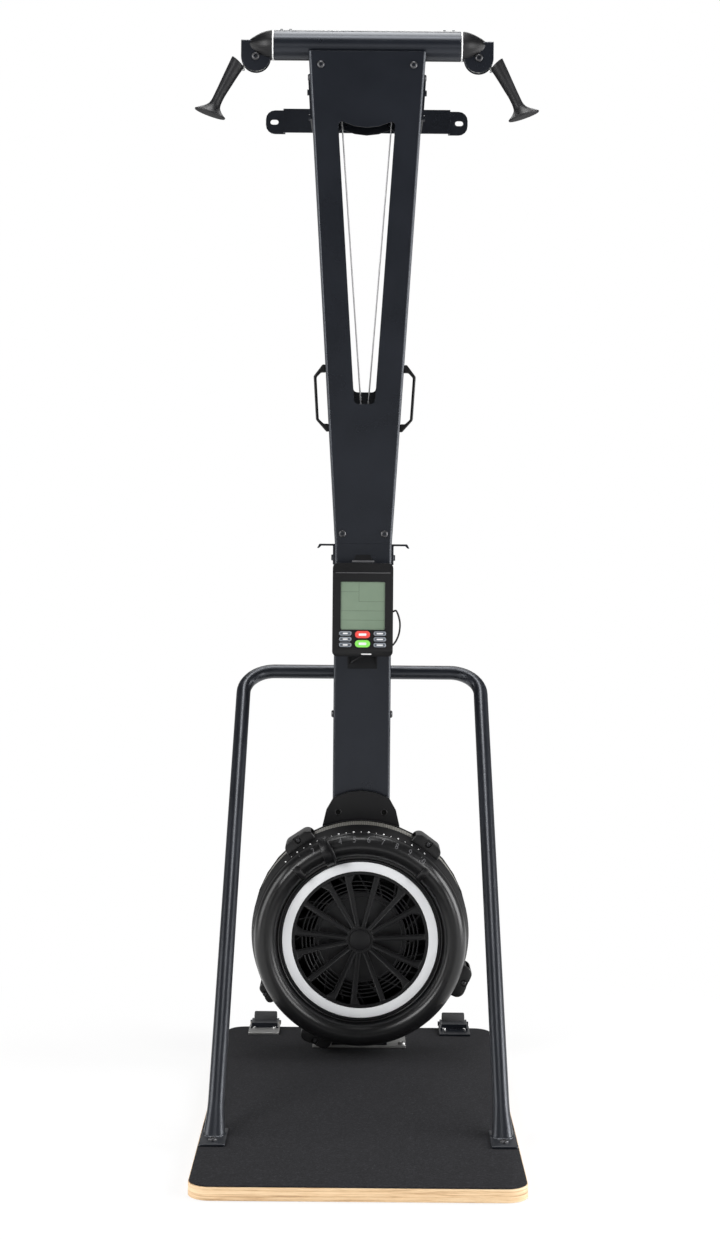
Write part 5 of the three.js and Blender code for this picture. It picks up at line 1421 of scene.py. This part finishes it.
# Stations down a grip: shares of the lean, drop, width and depth, then the tilt in degrees
GRIP_STATIONS = (
    (0.00, 0.00, 0.51, 0.47, 44.0), (0.22, 0.21, 0.44, 0.45, 40.0), (0.44, 0.43, 0.38, 0.42, 36.0),
    (0.65, 0.64, 0.33, 0.39, 32.0), (0.81, 0.82, 0.35, 0.40, 28.0), (0.90, 0.91, 0.55, 0.56, 23.0),
    (1.00, 1.00, 1.00, 0.90, FOOT_TILT),
)

# How the flat foot closes: size of each ring against the rim, and its drop
FOOT_STEPS = (
    (1.0, 0.0016), (0.985, 0.0026), (0.94, 0.0030), (0.80, 0.0032), (0.45, 0.0034), (0.15, 0.0035),
)


def grip_ring(sign, across, down, wide, deep, tilt):
    turn = math.radians(tilt)
    x = -(GRIP_X + GRIP_LEAN * across)
    z = GRIP_TOP - GRIP_DROP * down
    ring = []
    for step in range(GRIP_SIDES):
        angle = math.tau * step / GRIP_SIDES
        out = GRIP_FLARE * wide / 2 * math.cos(angle)
        ring.append(Vector((
            sign * -(x + out * math.cos(turn)),
            HEAD_Y + GRIP_FLARE * deep / 2 * math.sin(angle),
            z - out * math.sin(turn),
        )))
    return ring


def grip_rings(sign):
    rows = 40
    last = len(GRIP_STATIONS) - 1
    rings = []
    for row in range(rows + 1):
        place = row / rows * last
        first = min(int(place), last - 1)
        around = [GRIP_STATIONS[min(max(first + step, 0), last)] for step in (-1, 0, 1, 2)]
        rings.append(grip_ring(sign, *(through(*values, place - first) for values in zip(*around))))
    return rings


def middle_of(ring):
    return sum(ring, Vector()) / len(ring)


# A ring drawn in or out about its middle, then moved along
def resized(ring, size, move):
    middle = middle_of(ring)
    return [middle + (point - middle) * size + move for point in ring]


def handles():
    ferrule_top = 2.0740
    tilt = math.radians(FOOT_TILT)
    ferrule = [
        (0.0, 0.0), (0.0018, 0.0), (0.0026, 0.0009), (0.0026, 0.0048), (0.0020, 0.0062),
        (0.0020, 0.0080), (0.0026, 0.0088), (0.0026, 0.0112), (0.0, 0.0112),
    ]
    for side, sign in SIDES:
        rings = grip_rings(sign)
        top, rim = rings[0], rings[-1]
        along = (middle_of(rings[1]) - middle_of(top)).normalized()
        crown = [resized(top, size, along * drop) for size, drop in ((0.55, -0.0002), (0.86, 0.0004))]
        rings[0] = resized(top, 0.985, along * 0.0018)
        low = Vector((sign * math.sin(tilt), 0.0, -math.cos(tilt)))
        foot = [resized(rim, size, low * drop) for size, drop in FOOT_STEPS]
        grip = wrapped(f"grip_{side}", crown + rings + foot)
        finished(grip, rubber, f"handle_{side}", "black_rubber", f"handle_{side}")
        loop = turned("ferrule", ferrule, 32)
        loop.rotation_euler = (math.radians(-90), 0.0, 0.0)
        loop.location = (sign * (OUTER_PULLEY_X + OUTER_GROOVE_R), HEAD_Y, ferrule_top)
        finished(settle(loop), steel, f"handle_{side}", "black_rubber")


# Points of an arc round a pulley on the left, from one turn to another
def round_pulley(x, z, radius, first, last, steps):
    points = []
    for step in range(steps + 1):
        turn = first + (last - first) * step / steps
        points.append(Vector((-x + radius * math.cos(turn), HEAD_Y, z + radius * math.sin(turn))))
    return points


# Drive cords: over both pulleys, through the guide and down to the drum
def cords():
    guide_offset, guide_top, guide_low = 0.008, 1.308, 1.284
    crest, leave = math.radians(78.9), math.radians(4.3)
    for side, sign in SIDES:
        guide_y = HEAD_Y + sign * guide_offset
        points = round_pulley(OUTER_PULLEY_X, OUTER_PULLEY_Z, OUTER_GROOVE_R, math.pi, crest, 16)
        points += round_pulley(INNER_PULLEY_X, INNER_PULLEY_Z, INNER_GROOVE_R, crest, leave, 12)
        points.append(Vector((-0.004, guide_y, guide_top)))
        for point in points:
            point.x *= -sign
        points.append(Vector((sign * 0.004, guide_y, guide_low)))
        points.append(Vector((0.020, guide_y, FAN_Z + 0.0005)))
        piece = cord(f"drive_cord_{side}_laid", points, CORD_R, 14)
        finished(piece, braid, "frame", "cord", f"drive_cord_{side}")


backdrop()
studio()
camera()
pale_floor()
bpy.context.scene.view_settings.view_transform = "Standard"
deck()
floor_fittings()
rollers()
column()
head()
side_fittings()
brace()
front_shroud()
lug_screws()
silver_band()
grille()
damper()
scale_dots()
scale_numbers()
perforated_band()
fan_inside()
monitor_shells()
screen()
keys()
lip_tag()
monitor_lead()
handles()
cords()
